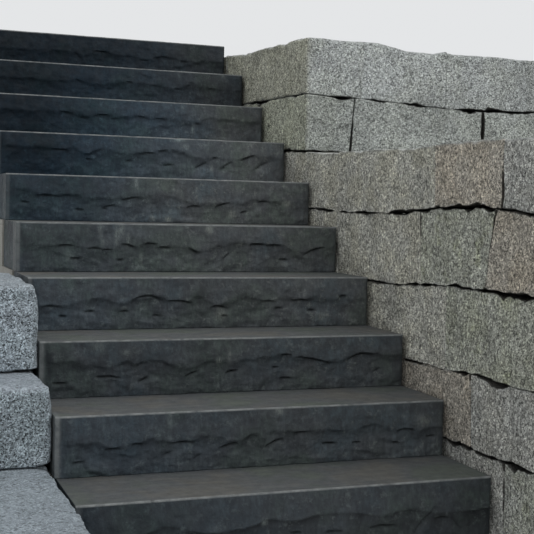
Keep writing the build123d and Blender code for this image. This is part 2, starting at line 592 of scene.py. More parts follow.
@dataclass
class SplitStone:
    """A block of granite, split on its open sides and dressed flat in its joints.

    Its place and size are those of its node. Along is the axis that its wall runs along, below and above
    are its bed joints, and start and end its upright ones. Where the right side is closed, it stands
    closed_right nearer to the next stone, and closed_lean more at its head, as far back as closed_depth.
    Taper is how much narrower the stone is at its back, slope how much its top climbs with each metre
    towards the back, barrel how far its upper part leans back, and proud how far its right side stands out
    again. Rough is how coarse the split rock is.
    """

    name: str
    low: Array
    high: Array
    open_sides: tuple[Side, ...]
    below: Seam | None = None
    above: Seam | None = None
    along: int = 1
    start: Perpend | None = None
    end: Perpend | None = None
    closed_right: float = 0.0
    closed_lean: float = 0.0
    closed_depth: float = 60 * MM
    taper: float = 0.0
    slope: float = 0.0
    cell: float = 7.5 * MM
    depth_cell: float = 34 * MM
    joint_round: float = 4 * MM
    open_round: float = 13 * MM
    top_round: float = 13 * MM
    relief_depth: float = 6 * MM
    chip_depth: float = 7 * MM
    wear: float = 1.2 * MM
    barrel: float = 0.0
    proud: float = 0.0
    patch: float = 85 * MM
    rough: float = 2 * MM
    tone: float = 0.5

    COARSE_CELL = 12 * MM
    MOST_ROUNDING = 0.45
    TIGHT_ROUND = 0.5 * MM
    TIGHT_BREAK = 2 * MM
    FREE_CHIP_SPACING = 75 * MM
    JOINT_CHIP_SPACING = 55 * MM
    MEAN_RELIEF = 0.75
    BARREL_START = 0.35

    @property
    def across(self) -> int:
        """The axis that runs through the wall."""
        return 1 - self.along

    def leads(self) -> tuple[tuple[float, ...], ...]:
        """Return how the cells narrow toward the sides, for each axis."""
        lead, count = (COARSE_LEAD, 3) if self.cell > self.COARSE_CELL else (FINE_LEAD, 4)
        ways = [lead[:count]] * 3
        if self.depth_cell > self.cell:
            ways[self.across] = lead
        return tuple(ways)

    def insets(self, points: Array, seed: float) -> tuple[Array, Array]:
        """Return how wide the rounding is at each point, from the low and from the high sides."""
        uneven = 1.0 + 0.5 * ripple(points, 0.09, seed) + 0.35 * ripple(points, 0.03, seed + 1.0)
        uneven = np.clip(uneven, 0.4, None)[:, None]
        limit = (self.high - self.low) * self.MOST_ROUNDING
        from_low, from_high = (np.minimum(base * uneven, limit) for base in self.roundings())
        if self.closed_right:
            from_high[points[:, 1] < self.low[1] + self.closed_depth, 0] = self.TIGHT_ROUND
        return from_low, from_high

    def roundings(self) -> Array:
        """Return how wide the stone is rounded from its low and its high side along each axis."""
        base = np.full((2, 3), self.joint_round)
        upright = [side for side in self.open_sides if side.axis < 2]
        free = len({side.axis for side in upright}) == 2
        for side in upright:
            base[side.value[1], side.axis] = self.open_round if free else self.open_round * 0.45
        if Side.TOP in self.open_sides:
            base[1, 2] = self.top_round
        for joint, end in ((self.start, 0), (self.end, 1)):
            if joint:
                base[end, self.along] = joint.broken
        return base

    def stays_whole(self, *sides: Side) -> bool:
        """Whether the arris between two sides has no wear: both are hidden, or one meets a tight joint."""
        joints = {(self.along, 0): self.start, (self.along, 1): self.end}
        beside = [joints[side.value] for side in sides if joints.get(side.value)]
        tight = any(joint.broken < self.TIGHT_BREAK for joint in beside)
        closed = self.closed_right and Side.RIGHT in sides
        return bool(tight or closed or not set(sides) & set(self.open_sides))

    def arrises(self, dice: Random) -> Iterator[Arris]:
        """Choose the wear and the chips of every arris that can be seen."""
        base = self.roundings()
        for sides in combinations(Side, 2):
            first, second = sides
            if first.axis == second.axis or self.stays_whole(*sides):
                continue
            free = first in self.open_sides and second in self.open_sides
            axis = 3 - first.axis - second.axis
            length = self.high[axis] - self.low[axis]
            count = int(length / (self.FREE_CHIP_SPACING if free else self.JOINT_CHIP_SPACING))
            deepest = self.chip_depth if free else 0.6 * self.chip_depth
            chips = tuple(
                Chip(self.low[axis] + dice.uniform(0.0, length), dice.uniform(12, 48) * MM,
                     deepest * dice.uniform(0.15, 1.0) ** 1.6) for _ in range(count))
            rounding = tuple(0.8 * base[side.value[1], side.axis] for side in sides)
            wear = self.wear * (1.0 if free else 0.5)
            yield Arris(first, second, wear, chips, dice.uniform(0.3, 0.7), rounding)

    def relief(self, points: Array, side: Side, dice: Random, seed: float) -> Array:
        """Return how deep a split side lies under the block's outline at each point."""
        over, up = (points[:, axis] for axis in range(3) if axis != side.axis)
        patches = facets(over, up, dice, self.patch, 0.09, 0.32 * self.relief_depth)
        small = facets(over, up, dice, 0.38 * self.patch, 0.07, 0.10 * self.relief_depth)
        broad = ripple(points, 0.24, seed) * 0.35 * self.relief_depth
        pits = np.abs(ripple(points, 0.04, seed + 5.0)) * 0.30 * self.relief_depth
        return np.clip(self.MEAN_RELIEF * self.relief_depth + patches + small + broad + pits, 0.0, None)

    def flush(self, points: Array) -> Array:
        """How far the relief gives way at each point, so that stones with a tight joint meet flush."""
        share = np.zeros(len(points))
        ends = [(self.closed_right > 0, Side.RIGHT.edge(self.low, self.high), 0)]
        for joint, corner in ((self.start, self.low), (self.end, self.high)):
            ends.append((joint is not None and joint.broken < 1 * MM, corner[self.along], self.along))
        for tight, place, axis in ends:
            if tight:
                share = np.maximum(share, falloff(points[:, axis] - place, 35 * MM))
        return share

    def split(self, surface: Array, share: Array, facing: dict[Side, Array], dice: Random,
              seed: float) -> Array:
        """Break the open sides back to the rock.

        Args:
            surface: The points of the stone with its arrises worn.
            share: How far each lies between the low and the high sides, from 0 to 1, for each axis.
            facing: For each open side, how far each point belongs to it.
            dice: What the patches are drawn with.
            seed: A number that picks the pattern.

        Returns:
            The points of the split stone.
        """
        points = surface.copy()
        for number, (side, weight) in enumerate(facing.items()):
            shown = weight > 0.002
            flush = self.flush(surface[shown])
            depth = self.relief(surface[shown], side, dice, seed + 1.7 * number)
            depth = depth * (1.0 - flush) + self.MEAN_RELIEF * self.relief_depth * flush
            if side.axis == 0:
                upper = np.clip(share[shown, 2] - self.BARREL_START, 0.0, None) / (1.0 - self.BARREL_START)
                depth = depth + self.barrel * upper ** 2
            if side is Side.RIGHT:
                depth = np.clip(depth - self.proud, 0.0, None)
            if side is Side.TOP:
                depth = 0.5 * depth
            points[shown, side.axis] -= side.outward * weight[shown] * depth
        return points

    def follow_joints(self, points: Array, share: Array) -> tuple[Array, Array]:
        """Let the stone follow its joints.

        Args:
            points: The points of the split stone.
            share: How far each lies between the low and the high sides, from 0 to 1, for each axis.

        Returns:
            The points after the joints have moved them, and how near each lies to a joint that gapes.
        """
        moved = points.copy()
        rim = np.zeros(len(points))
        up = share[:, 2]
        from_foot = points[:, 2] - self.low[2] - self.slope * (points[:, 1] - self.low[1]) * up
        from_head = self.high[2] - self.low[2] - from_foot
        head_sign = 0.0 if Side.TOP in self.open_sides else -1.0
        beds = ((self.below, 1.0 - up, from_foot, 1.0), (self.above, up, from_head, head_sign))
        for seam, weight, distance, sign in beds:
            if seam:
                gap = seam.gap(points) * abs(sign)
                part = seam.part(points) if sign > 0 else 1.0 - seam.part(points)
                moved[:, 2] += weight * seam.lift(points) + sign * part * falloff(distance, 30 * MM) * gap
                rim = np.maximum(rim, falloff(distance, 10 * MM, 1) * np.clip(gap / (5 * MM), 0.0, 1.0))
        through = points[:, self.across]
        through = np.minimum(through - self.low[self.across], self.high[self.across] - through)
        at_face = falloff(through, 70 * MM, 4)
        along = share[:, self.along]
        length = self.high[self.along] - self.low[self.along]
        for joint, end, sign in ((self.start, 0, -1.0), (self.end, 1, 1.0)):
            if joint:
                middle = (self.low, self.high)[end][self.along] + sign * HALF_JOINT
                seed = round(float(middle), 3) + self.low[2]
                weight = along if end else 1.0 - along
                distance = (1.0 - weight) * length
                half_gap = joint.half_gap(points, up, seed)
                moved[:, self.along] += weight * (joint.shift(points, up, seed) + sign * joint.closing)
                moved[:, self.along] -= sign * falloff(distance, 40 * MM) * at_face * half_gap
                rim = np.maximum(rim, falloff(distance, 7 * MM, 1) * np.clip(half_gap / (2 * MM), 0.0, 1.0))
        return moved, rim

    def inward(self, surface: Array, apart: Array) -> Array:
        """Work out how deep in the joints each point lies.

        Args:
            surface: The points of the stone with its arrises worn.
            apart: How far the right side is open at each of them, from 0 to 1.

        Returns:
            How far each point lies behind the nearest open side.
        """
        nearest = np.full(len(surface), 1.0)
        for side in self.open_sides:
            distance = -side.outward * (surface[:, side.axis] - side.edge(self.low, self.high))
            if self.closed_right and side is Side.RIGHT:
                distance = distance + (1.0 - apart)
            nearest = np.minimum(nearest, distance)
        return nearest

    def build(self, material: Material, slot: str) -> Piece:
        """Make the stone.

        Args:
            material: Its finish.
            slot: The record's material slot, which is not used.

        Returns:
            The finished piece.
        """
        dice = Random(self.name)
        seed = dice.uniform(0.0, 50.0)
        cells = [self.cell] * 3
        cells[self.across] = self.depth_cell
        block = Block(self.name, self.low, self.high, tuple(cells), self.leads())
        points = block.cut()
        share = np.clip((points - self.low) / (self.high - self.low), 0.0, 1.0)
        dressed, normal = rounded(points, self.low, self.high, *self.insets(points, seed))
        surface = dressed
        for number, arris in enumerate(self.arrises(dice)):
            surface = arris.clip(surface, self.low, self.high, seed + 3.0 * number)

        facing = {side: np.clip(normal[:, side.axis] * side.outward, 0.0, 1.0) ** 2
                  for side in self.open_sides}
        apart = smooth_step(surface[:, 1] - self.low[1], self.closed_depth, self.closed_depth + 50 * MM)
        if self.closed_right:
            facing[Side.RIGHT] *= apart
        points = self.split(surface, share, facing, dice, seed)
        points[:, 2] += self.slope * (points[:, 1] - self.low[1]) * share[:, 2]
        closing = self.closed_right + self.closed_lean * share[:, 2]
        points[:, 0] += (closing * (1.0 - apart) - self.taper * share[:, 1]) * share[:, 0]
        points, rim = self.follow_joints(points, share)
        block.place(points)

        openness = np.clip(sum(facing.values()), 0.0, 1.0)
        free = 1.0 - self.flush(surface)
        inward = self.inward(surface, apart)
        turned = (np.max(np.abs(normal), axis=1) - 0.7) / 0.28
        chipped = np.linalg.norm(surface - dressed, axis=1) / (2 * MM)
        block.paint("arris", np.clip(1.0 - turned + chipped, 0.0, 1.0) * (inward < 9 * MM) * free)
        block.paint("crown", np.clip(normal[:, 2], 0.0, 1.0) ** 2 * (Side.TOP in self.open_sides))
        block.paint("joint", smooth_step(inward, 7 * MM, 22 * MM) * (1.0 - openness))
        block.paint("rim", rim)
        # The left sides, which the finish lightens as painted light where the granite's flank asks for it,
        # and breaks up with grain.
        block.paint("flank", facing.get(Side.LEFT, np.zeros(len(points))))
        block.paint("tone", np.full(len(points), self.tone))
        block.roughen(openness * free, 12 * MM, self.rough)
        return block.finish(material, slot)


@dataclass(frozen=True)
class Crack:
    """A short undercut in a riser, where a flake came off below a lip.

    Its middle lies at place_mm along the step and at a share of the rise; slant is how much it climbs to
    the right.
    """

    place_mm: float
    length_mm: float
    share: float
    slant: float = 0.0
    depth_mm: float = 7.0
    arch: float = 0.1


@dataclass(frozen=True)
class Mark:
    """A pale bruise or splash on a riser, at place_mm along the step and at a share of the rise."""

    place_mm: float
    share: float
    width_mm: float
    height_mm: float
    strength: float


@dataclass(frozen=True)
class Riser:
    """What is particular to one riser: its ridge, as (place_mm, share of the rise), its cracks and marks."""

    ridge: tuple[tuple[int, float], ...]
    cracks: tuple[Crack, ...]
    marks: tuple[Mark, ...]

    @classmethod
    def of(cls, ridge: tuple, cracks: tuple, marks: tuple = ()) -> "Riser":
        """Make a riser from plain rows, where a row of a crack or a mark holds its fields in their order."""
        return cls(ridge, tuple(Crack(*row) for row in cracks), tuple(Mark(*row) for row in marks))


RISERS = tuple(Riser.of(*rows) for rows in (
    (((-600, 0.52), (-450, 0.50), (-418, 0.535), (-378, 0.64), (-334, 0.605), (-310, 0.535), (-266, 0.465),
      (-226, 0.465), (-162, 0.49), (-122, 0.535), (-98, 0.593), (-58, 0.593), (-18, 0.535), (14, 0.558),
      (54, 0.628), (134, 0.628), (190, 0.58), (238, 0.535), (270, 0.49), (294, 0.57), (334, 0.593),
      (382, 0.535), (430, 0.49), (550, 0.477), (590, 0.50)),
     ((254, 88, 0.34), (106, 48, 0.325), (-6, 32, 0.355), (434, 48, 0.40), (378, 70, 0.38, 1.2, 5.0),
      (482, 36, 0.30, -1.1, 4.0), (-420, 70, 0.33), (-250, 60, 0.28, 0.2), (-520, 50, 0.40),
      (-120, 44, 0.26), (190, 40, 0.20)),
     ((-98, 0.56, 8, 10, 0.9),)),
    (((-600, 0.55), (-522, 0.574), (-490, 0.598), (-466, 0.516), (-446, 0.458), (-422, 0.493),
      (-378, 0.528), (-354, 0.574), (-314, 0.574), (-274, 0.516), (-218, 0.516), (-194, 0.586),
      (-138, 0.586), (-114, 0.516), (-66, 0.493), (-34, 0.598), (-2, 0.54), (30, 0.633), (70, 0.633),
      (110, 0.574), (158, 0.598), (190, 0.609), (238, 0.563), (302, 0.574), (350, 0.66), (422, 0.516),
      (462, 0.54), (510, 0.516), (574, 0.54), (600, 0.54)),
     ((-446, 48, 0.458), (-378, 32, 0.52), (-246, 80, 0.51), (-108, 56, 0.412, 0.25, 9.0),
      (34, 54, 0.428, 0.4, 9.0), (114, 40, 0.574), (210, 50, 0.353, -0.05, 9.0),
      (462, 64, 0.516, 0.0, 7.0, 0.25), (550, 30, 0.38), (-542, 34, 0.265, 0.1), (430, 26, 0.295),
      (300, 30, 0.34), (-290, 34, 0.33, 0.5, 4.0), (-200, 30, 0.27, 0.5, 4.0)),
     ((50, 0.95, 14, 12, 0.7), (-282, 0.90, 6, 24, 0.6), (526, 0.66, 24, 16, 0.5))),
    (((-600, 0.64), (-538, 0.672), (-490, 0.637), (-458, 0.579), (-418, 0.533), (-378, 0.545), (-346, 0.66),
      (-314, 0.56), (-274, 0.637), (-234, 0.626), (-202, 0.544), (-162, 0.498), (-130, 0.51), (-90, 0.602),
      (-50, 0.59), (-18, 0.533), (30, 0.614), (70, 0.614), (94, 0.672), (114, 0.637), (142, 0.684),
      (190, 0.688), (206, 0.59), (254, 0.579), (302, 0.544), (358, 0.498), (390, 0.626), (438, 0.672),
      (494, 0.66), (526, 0.602), (574, 0.65), (600, 0.64)),
     ((-398, 80, 0.37, -0.05, 8.0), (-546, 45, 0.28), (-290, 32, 0.30, 0.5), (-138, 42, 0.38, 0.4),
      (-6, 42, 0.405, 0.2, 9.0), (178, 45, 0.24), (270, 130, 0.57, -0.2, 8.0),
      (438, 100, 0.62, 0.15, 9.0, 0.3), (142, 22, 0.45), (174, 40, 0.68), (500, 30, 0.33, 0.6, 4.0)),
     ((-430, 0.90, 22, 18, 0.45), (-346, 0.78, 12, 9, 0.5), (-50, 0.60, 8, 9, 1.0),
      (-14, 0.69, 7, 22, 0.6))),
    (((-600, 0.47), (-562, 0.477), (-502, 0.477), (-450, 0.535), (-426, 0.558), (-378, 0.616), (-338, 0.58),
      (-314, 0.535), (-282, 0.523), (-258, 0.593), (-210, 0.616), (-162, 0.64), (-138, 0.558), (-98, 0.535),
      (-58, 0.58), (-34, 0.663), (-2, 0.547), (30, 0.477), (70, 0.477), (134, 0.663), (174, 0.57),
      (222, 0.535), (254, 0.58), (286, 0.64), (310, 0.558), (358, 0.558), (382, 0.65), (422, 0.57),
      (462, 0.547), (498, 0.64), (534, 0.523), (582, 0.57), (600, 0.57)),
     ((-530, 60, 0.47), (-398, 32, 0.365), (-286, 32, 0.36), (-210, 105, 0.61, 0.0, 8.0, 0.3),
      (-98, 90, 0.54, -0.1, 8.0), (38, 64, 0.42, 0.0, 9.0, 0.3), (218, 60, 0.53), (334, 70, 0.55, 0.0, 8.0),
      (258, 30, 0.395), (378, 34, 0.34), (-490, 26, 0.28), (-174, 32, 0.27), (498, 32, 0.63),
      (60, 24, 0.25)),
     ((48, 0.27, 18, 18, 0.9), (418, 0.19, 20, 14, 0.5), (-286, 0.42, 8, 6, 0.7))),
    (((-600, 0.56), (-458, 0.563), (-410, 0.528), (-362, 0.516), (-330, 0.47), (-282, 0.458), (-250, 0.54),
      (-226, 0.574), (-194, 0.54), (-162, 0.598), (-114, 0.621), (-90, 0.54), (-50, 0.516), (-18, 0.609),
      (22, 0.47), (54, 0.447), (94, 0.516), (142, 0.586), (190, 0.644), (246, 0.609), (294, 0.633),
      (334, 0.598), (374, 0.609), (422, 0.47), (470, 0.458), (526, 0.54), (582, 0.56), (600, 0.56)),
     ((-430, 64, 0.54), (-330, 50, 0.49), (-286, 40, 0.465), (-210, 50, 0.56, -0.2, 8.0), (-130, 50, 0.60),
      (-78, 50, 0.52), (30, 42, 0.465, -0.5), (278, 62, 0.605, 0.0, 9.0), (338, 70, 0.59),
      (502, 90, 0.49, 0.35, 8.0), (158, 30, 0.36, 0.9), (-398, 40, 0.285), (382, 40, 0.285),
      (-238, 22, 0.26)),
     ((-310, 0.87, 8, 30, 0.4), (-250, 0.77, 8, 36, 0.6), (-234, 0.87, 12, 30, 0.6),
      (-210, 0.66, 8, 22, 0.5), (-302, 0.62, 8, 14, 0.4), (94, 0.90, 14, 14, 0.6), (-162, 0.26, 6, 24, 0.6),
      (-418, 0.33, 12, 18, 0.5))),
    (((-600, 0.68), (-562, 0.69), (-474, 0.579), (-442, 0.556), (-394, 0.567), (-338, 0.579), (-290, 0.533),
      (-250, 0.51), (-178, 0.556), (-154, 0.51), (-106, 0.544), (-66, 0.602), (-2, 0.602), (54, 0.533),
      (94, 0.486), (134, 0.43), (174, 0.51), (198, 0.463), (238, 0.51), (278, 0.463), (310, 0.45),
      (350, 0.60), (382, 0.556), (422, 0.51), (462, 0.556), (510, 0.51), (574, 0.579), (600, 0.58)),
     ((-450, 90, 0.55), (-138, 70, 0.53, 0.2, 8.0), (-218, 50, 0.35, 0.2), (-234, 22, 0.30),
      (110, 60, 0.38, 0.1), (230, 60, 0.44, 0.3, 8.0), (402, 50, 0.53), (-330, 32, 0.27), (-534, 30, 0.405),
      (320, 34, 0.28, 0.2)),
     ((-114, 0.86, 7, 24, 0.8), (14, 0.08, 12, 10, 1.0), (270, 0.22, 14, 14, 0.8), (502, 0.48, 14, 12, 0.8),
      (-414, 0.28, 20, 38, 0.5), (-50, 0.10, 10, 10, 0.5))),
    (((-600, 0.66), (-520, 0.66), (-460, 0.69), (-400, 0.68), (-370, 0.61), (-330, 0.62), (-300, 0.70),
      (-270, 0.56), (-240, 0.53), (-190, 0.64), (-150, 0.655), (-110, 0.60), (-60, 0.58), (-30, 0.61),
      (30, 0.63), (60, 0.68), (110, 0.70), (150, 0.66), (190, 0.58), (230, 0.56), (290, 0.59), (330, 0.56),
      (380, 0.55), (420, 0.60), (450, 0.65), (500, 0.64), (540, 0.62), (600, 0.60)),
     ((-360, 70, 0.62), (-215, 70, 0.60, 0.45), (0, 60, 0.615, 0.1, 8.0), (66, 44, 0.685, 0.1),
      (90, 46, 0.36, 0.1), (226, 60, 0.38, 0.5), (338, 56, 0.40, 0.7), (432, 64, 0.60, 0.35, 9.0),
      (490, 60, 0.42, 0.6), (-242, 24, 0.425), (-78, 26, 0.42), (286, 20, 0.56)),
     ((134, 0.96, 24, 8, 1.0), (158, 0.80, 20, 12, 0.4), (274, 0.30, 5, 18, 0.8))),
    (((-600, 0.60), (-480, 0.62), (-420, 0.60), (-350, 0.65), (-310, 0.63), (-270, 0.60), (-200, 0.57),
      (-150, 0.59), (-100, 0.60), (-40, 0.55), (10, 0.60), (70, 0.57), (150, 0.55), (200, 0.59),
      (270, 0.55), (310, 0.60), (350, 0.63), (440, 0.64), (500, 0.60), (600, 0.60)),
     ((-282, 50, 0.61, -0.2, 5.0), (-212, 46, 0.50, 0.0, 6.0), (-134, 70, 0.585, 0.05, 4.0),
      (-74, 34, 0.51, 0.0, 4.0), (46, 60, 0.58, -0.2, 4.0), (122, 70, 0.555, 0.0, 5.0),
      (294, 20, 0.49, 0.0, 6.0), (350, 64, 0.625, 0.1, 4.0)),
     ((226, 0.88, 5, 12, 0.7), (274, 0.33, 5, 20, 1.0), (-134, 0.84, 5, 12, 0.5))),
    (((-600, 0.55), (-440, 0.55), (-380, 0.56), (-340, 0.52), (-260, 0.54), (-190, 0.59), (-150, 0.54),
      (-80, 0.52), (-20, 0.56), (30, 0.62), (80, 0.61), (130, 0.60), (170, 0.58), (220, 0.55), (280, 0.53),
      (330, 0.64), (370, 0.66), (420, 0.58), (600, 0.58)),
     ((-178, 36, 0.58, -0.3, 5.0), (-34, 32, 0.42, 0.0, 4.0), (50, 40, 0.615, 0.0, 6.0),
      (166, 20, 0.57, 0.0, 4.0), (278, 30, 0.52, 0.0, 5.0), (348, 40, 0.69, -0.3, 4.0)),
     ((290, 0.88, 5, 16, 0.6), (502, 0.95, 14, 9, 0.6))),
    (((-600, 0.52), (-420, 0.52), (-350, 0.50), (-300, 0.54), (-200, 0.58), (-150, 0.50), (-110, 0.42),
      (-60, 0.58), (0, 0.60), (60, 0.55), (150, 0.50), (200, 0.46), (260, 0.55), (310, 0.58), (370, 0.52),
      (450, 0.48), (520, 0.54), (600, 0.54)),
     ((-30, 60, 0.59, 0.05, 7.0), (-130, 40, 0.46, -0.9, 5.0), (190, 50, 0.43, 0.0, 5.0),
      (286, 40, 0.57, 0.0, 5.0), (390, 40, 0.47, 0.0, 5.0), (462, 24, 0.44, 0.0, 4.0))),
))


@dataclass(frozen=True)
class RiserShading:
    """The painted light and shade of one riser, at its left end, its middle and its right end, and how far
    its ridge overhangs.

    Tone is what its colour is multiplied by: painted shade where a building shades the left ends of the upper
    steps, and painted light towards the right ends, against the shade of the wall. Its second field is how
    far it takes the blue cast of that shade, from 0 to 1. Shadow is how dark the painted shadow under the
    ridge is, and lip_mm how much further than usual the ridge stands over it. Its last field is how much
    darker the riser is painted towards its foot, as painted shade.
    """

    tone: Triple = (1.0, 1.0, 1.0)
    shade_blue: Triple = (0.2, 0.2, 0.2)
    shadow: float = 1.0
    lip_mm: float = 0.0
    shaded_foot: float = 0.0

    def along(self, share: Array) -> tuple[Array, Array]:
        """Return the tone and the blue cast of shade at each share of the step's length, from the left."""
        places = (0.15, 0.5, 0.85)
        return np.interp(share, places, self.tone), np.interp(share, places, self.shade_blue)


# Painted light and shade of each riser, as (left, middle, right): darker and bluer where a building shades
# the upper steps, lighter towards the right ends.
RISER_SHADING = (
    RiserShading((0.66, 1.04, 1.02), (0.30, 0.14, 0.12), 3.0, 2.2, 0.34),
    RiserShading((0.98, 1.00, 1.34), (0.28, 0.10, 0.06)),
    RiserShading((0.84, 1.00, 1.38), (0.16, 0.10, 0.05)),
    RiserShading((1.20, 1.18, 1.76), (0.22, 0.06, 0.00)),
    RiserShading((1.02, 1.48, 1.50), (0.22, 0.05, 0.00)),
    RiserShading((0.62, 1.48, 1.62), (0.62, 0.05, 0.00)),
    RiserShading((0.28, 1.18, 1.90), (0.98, 0.36, 0.00)),
    RiserShading((0.22, 0.90, 1.66), (1.00, 0.60, 0.00)),
    RiserShading((0.19, 0.50, 0.80), (1.00, 0.72, 0.15)),
    RiserShading((0.18, 0.28, 0.58), (1.00, 0.80, 0.22)),
)


@dataclass
class BasaltStep:
    """One block step: a rock-faced riser under a flat tread, with sawn margins at both ends.

    Its place and size are those of its node. Bulge is the most that the rock stands out over the margins,
    and foot how far it does so at the riser's foot. Margin is how wide the left margin is, margin_slope how
    wide the rock's slope beside it, and margin_wear how plainly the margin shows, from 0 to 1. Overhang is
    how far the block reaches past its node on the left, and nosing how wide the worn arris is.
    """

    name: str
    low: Array
    high: Array
    riser: Riser
    bulge: float = 22 * MM
    margin: float = 12 * MM
    overhang: float = 0.0
    margin_slope: float = 22 * MM
    margin_wear: float = 0.5
    weather: RiserShading = RiserShading()
    foot: float = 4 * MM
    nosing: float = 2.4 * MM
    cells: Triple = (5.2 * MM, 26 * MM, 3.4 * MM)

    LEAD = (0.0, 1.5 * MM, 3.5 * MM, 6.5 * MM, 10 * MM)
    MEAN_LIP_MM = 1.2
    MOST_LIP = 6.5 * MM
    TOE_LIFT = 4.5 * MM
    HOLLOW_REACH = 30 * MM
    NOSING_CHIPS = 38
    HALF_LENGTH_MM = 600.0
    RIDGE_SPACING_MM = 4.0
    END_ROUND = 2.5 * MM

    def ridge_line(self, along: Array, seed: float) -> Array:
        """Return the height of the ridge above the foot of the riser at each place along the step."""
        places, shares = (np.array(values) for values in zip(*self.riser.ridge))
        fine = np.arange(-self.HALF_LENGTH_MM, self.HALF_LENGTH_MM + 1.0, self.RIDGE_SPACING_MM)
        raw = np.interp(fine, places, shares)
        kernel = np.exp(-np.linspace(-2.0, 2.0, 7) ** 2)
        soft = np.convolve(np.pad(raw, 3, mode="edge"), kernel / kernel.sum(), mode="valid")
        line = sheet(along)
        jitter = 2.2 * MM * ripple(line, 0.028, seed) + 1.2 * MM * ripple(line, 0.011, seed + 1.0)
        return np.interp(along / MM, fine, soft) * (self.high[2] - self.low[2]) + jitter

    def undercuts(self, along: Array, up: Array, seed: float) -> tuple[Array, Array]:
        """Work out the cracks.

        Args:
            along: How far each point lies along the step, from its middle.
            up: How far it lies above the riser's foot.
            seed: A number that picks the pattern of their edges.

        Returns:
            How deep the rock is cut at each point, and how much painted shade darkens the crack there.
        """
        rise = self.high[2] - self.low[2]
        flat = sheet(along, up * 0.5)
        jitter = 1.6 * MM * ripple(flat, 0.022, seed) + 0.8 * MM * ripple(flat, 0.008, seed + 1.0)
        cut = np.zeros(len(along))
        crack_shade = np.zeros(len(along))
        for crack in self.riser.cracks:
            half = crack.length_mm * MM / 2
            over = along - crack.place_mm * MM
            share = np.clip(1.0 - (over / half) ** 2, 0.0, 1.0)
            edge = crack.share * rise + crack.slant * over + crack.arch * half * (share - 0.5) + jitter
            below = edge - up
            depth = crack.depth_mm * MM * share ** 0.6
            fall = falloff(np.clip(below - 3 * MM, 0.0, None), 9 * MM, 1)
            cut = np.maximum(cut, depth * smooth_step(below, -2.2 * MM, 2.2 * MM) * fall)
            # Painted shadow in a band under the crack's lip.
            band = smooth_step(below, -2.6 * MM, 0.6 * MM) * (1.0 - smooth_step(below, 3.2 * MM, 8.5 * MM))
            crack_shade = np.maximum(crack_shade, band * share ** 0.5 * crack.depth_mm / 9.0)
        return cut, crack_shade

    def profile(self, along: Array, up: Array, ridge: Array,
                seed: float) -> tuple[Array, Array]:
        """Work out the riser's broad shape, full above the ridge and hollow under it.

        Args:
            along: How far each point lies along the step, from its middle.
            up: How far it lies above the riser's foot.
            ridge: How high the ridge is above the foot, at its place along the step.
            seed: A number that picks the pattern.

        Returns:
            How far the rock stands out at each point, and how much painted shade darkens it under the ridge.
        """
        rise = self.high[2] - self.low[2]
        line = sheet(along)
        crest = self.bulge * (0.84 + 0.16 * ripple(line, 0.12, seed + 2.0))
        uneven = 9.0 * ripple(line, 0.055, seed + 3.0) + 3.0 * ripple(line, 0.02, seed + 4.0)
        lip = np.clip((self.MEAN_LIP_MM + self.weather.lip_mm + uneven) * MM, 0.0, self.MOST_LIP)
        sharp = lip / self.MOST_LIP
        toe = (self.foot + self.TOE_LIFT) * (1.0 + 0.4 * ripple(line, 0.1, seed + 5.0))
        above = np.clip((rise - up) / (rise - ridge), 0.0, 1.0)
        upper = crest * (0.35 * above + 0.65 * np.sin(above * math.pi / 2) ** 1.3)
        drop = ridge - up
        fade = falloff(np.clip(drop, 0.0, None), self.HOLLOW_REACH, 1)
        hollow = np.clip(crest - lip - toe, 0.0, None)
        lower = toe + hollow * fade - 4.0 * MM * smooth_step(drop, 0.45 * rise, 0.62 * rise)
        width = (13.0 - 10.5 * sharp) * MM
        edge = smooth_step(drop / width, -0.5, 1.0)
        body = np.minimum(upper, crest) * (1.0 - edge) + lower * edge
        # Painted shadow under the ridge, strongest where the lip is sharp.
        under = smooth_step(drop, 0.0, 6 * MM) * fade * (0.35 + 0.65 * sharp) * self.weather.shadow
        return body, under

    def texture(self, along: Array, up: Array, calm: Array, dice: Random,
                seed: float) -> Array:
        """Work out the riser's small relief: broken patches, upright flutes and pits.

        Args:
            along: How far each point lies along the step, from its middle.
            up: How far it lies above the riser's foot.
            calm: What the patches and pits are multiplied by there.
            dice: What the patches are drawn with.
            seed: A number that picks the pattern.

        Returns:
            How far the rock stands out at each point.
        """
        patches = facets(along, up * 1.4, dice, 52 * MM, 0.10, 1.6 * MM)
        small = facets(along, up * 1.3, dice, 19 * MM, 0.12, 0.6 * MM)
        flutes = 0.5 * MM * ripple(sheet(along, up * 0.35), 0.017, seed + 8.0)
        fine = 0.9 * MM * np.abs(ripple(sheet(along, up), 0.02, seed + 9.0))
        broad = 1.8 * MM * np.abs(ripple(sheet(along, up), 0.06, seed + 10.0))
        return (patches + small - fine - broad) * calm + flutes

    def rock_face(self, points: Array, seed: float, dice: Random) -> dict[str, Array]:
        """Work out the relief of the riser.

        Args:
            points: Where to read it.
            seed: A number that picks the pattern.
            dice: What the patches are drawn with.

        Returns:
            How far the rock stands out at each point, under the name relief, and how much painted shade
            darkens its cracks and the rock under its ridge, under the names of their layers.
        """
        rise = self.high[2] - self.low[2]
        along = points[:, 0] - (self.low[0] + self.high[0]) / 2
        up = points[:, 2] - self.low[2]
        ridge = self.ridge_line(along, seed)
        body, under = self.profile(along, up, ridge, seed)
        small = self.texture(along, up, np.where(up > ridge, 0.75, 1.0), dice, seed)
        cut, crack_shade = self.undercuts(along, up, seed + 12.0)
        relief = body + small * smooth_step(rise - up, 1.5 * MM, 26 * MM) - cut
        left = smooth_step(points[:, 0] - self.low[0], self.margin, self.margin + self.margin_slope)
        inside = left * smooth_step(self.high[0] - points[:, 0], 1.5 * MM, 13 * MM)
        relief = np.clip(relief, 0.0, self.bulge - 0.2 * MM)
        return {"relief": relief * inside, "crack": crack_shade * inside, "under": under * inside}

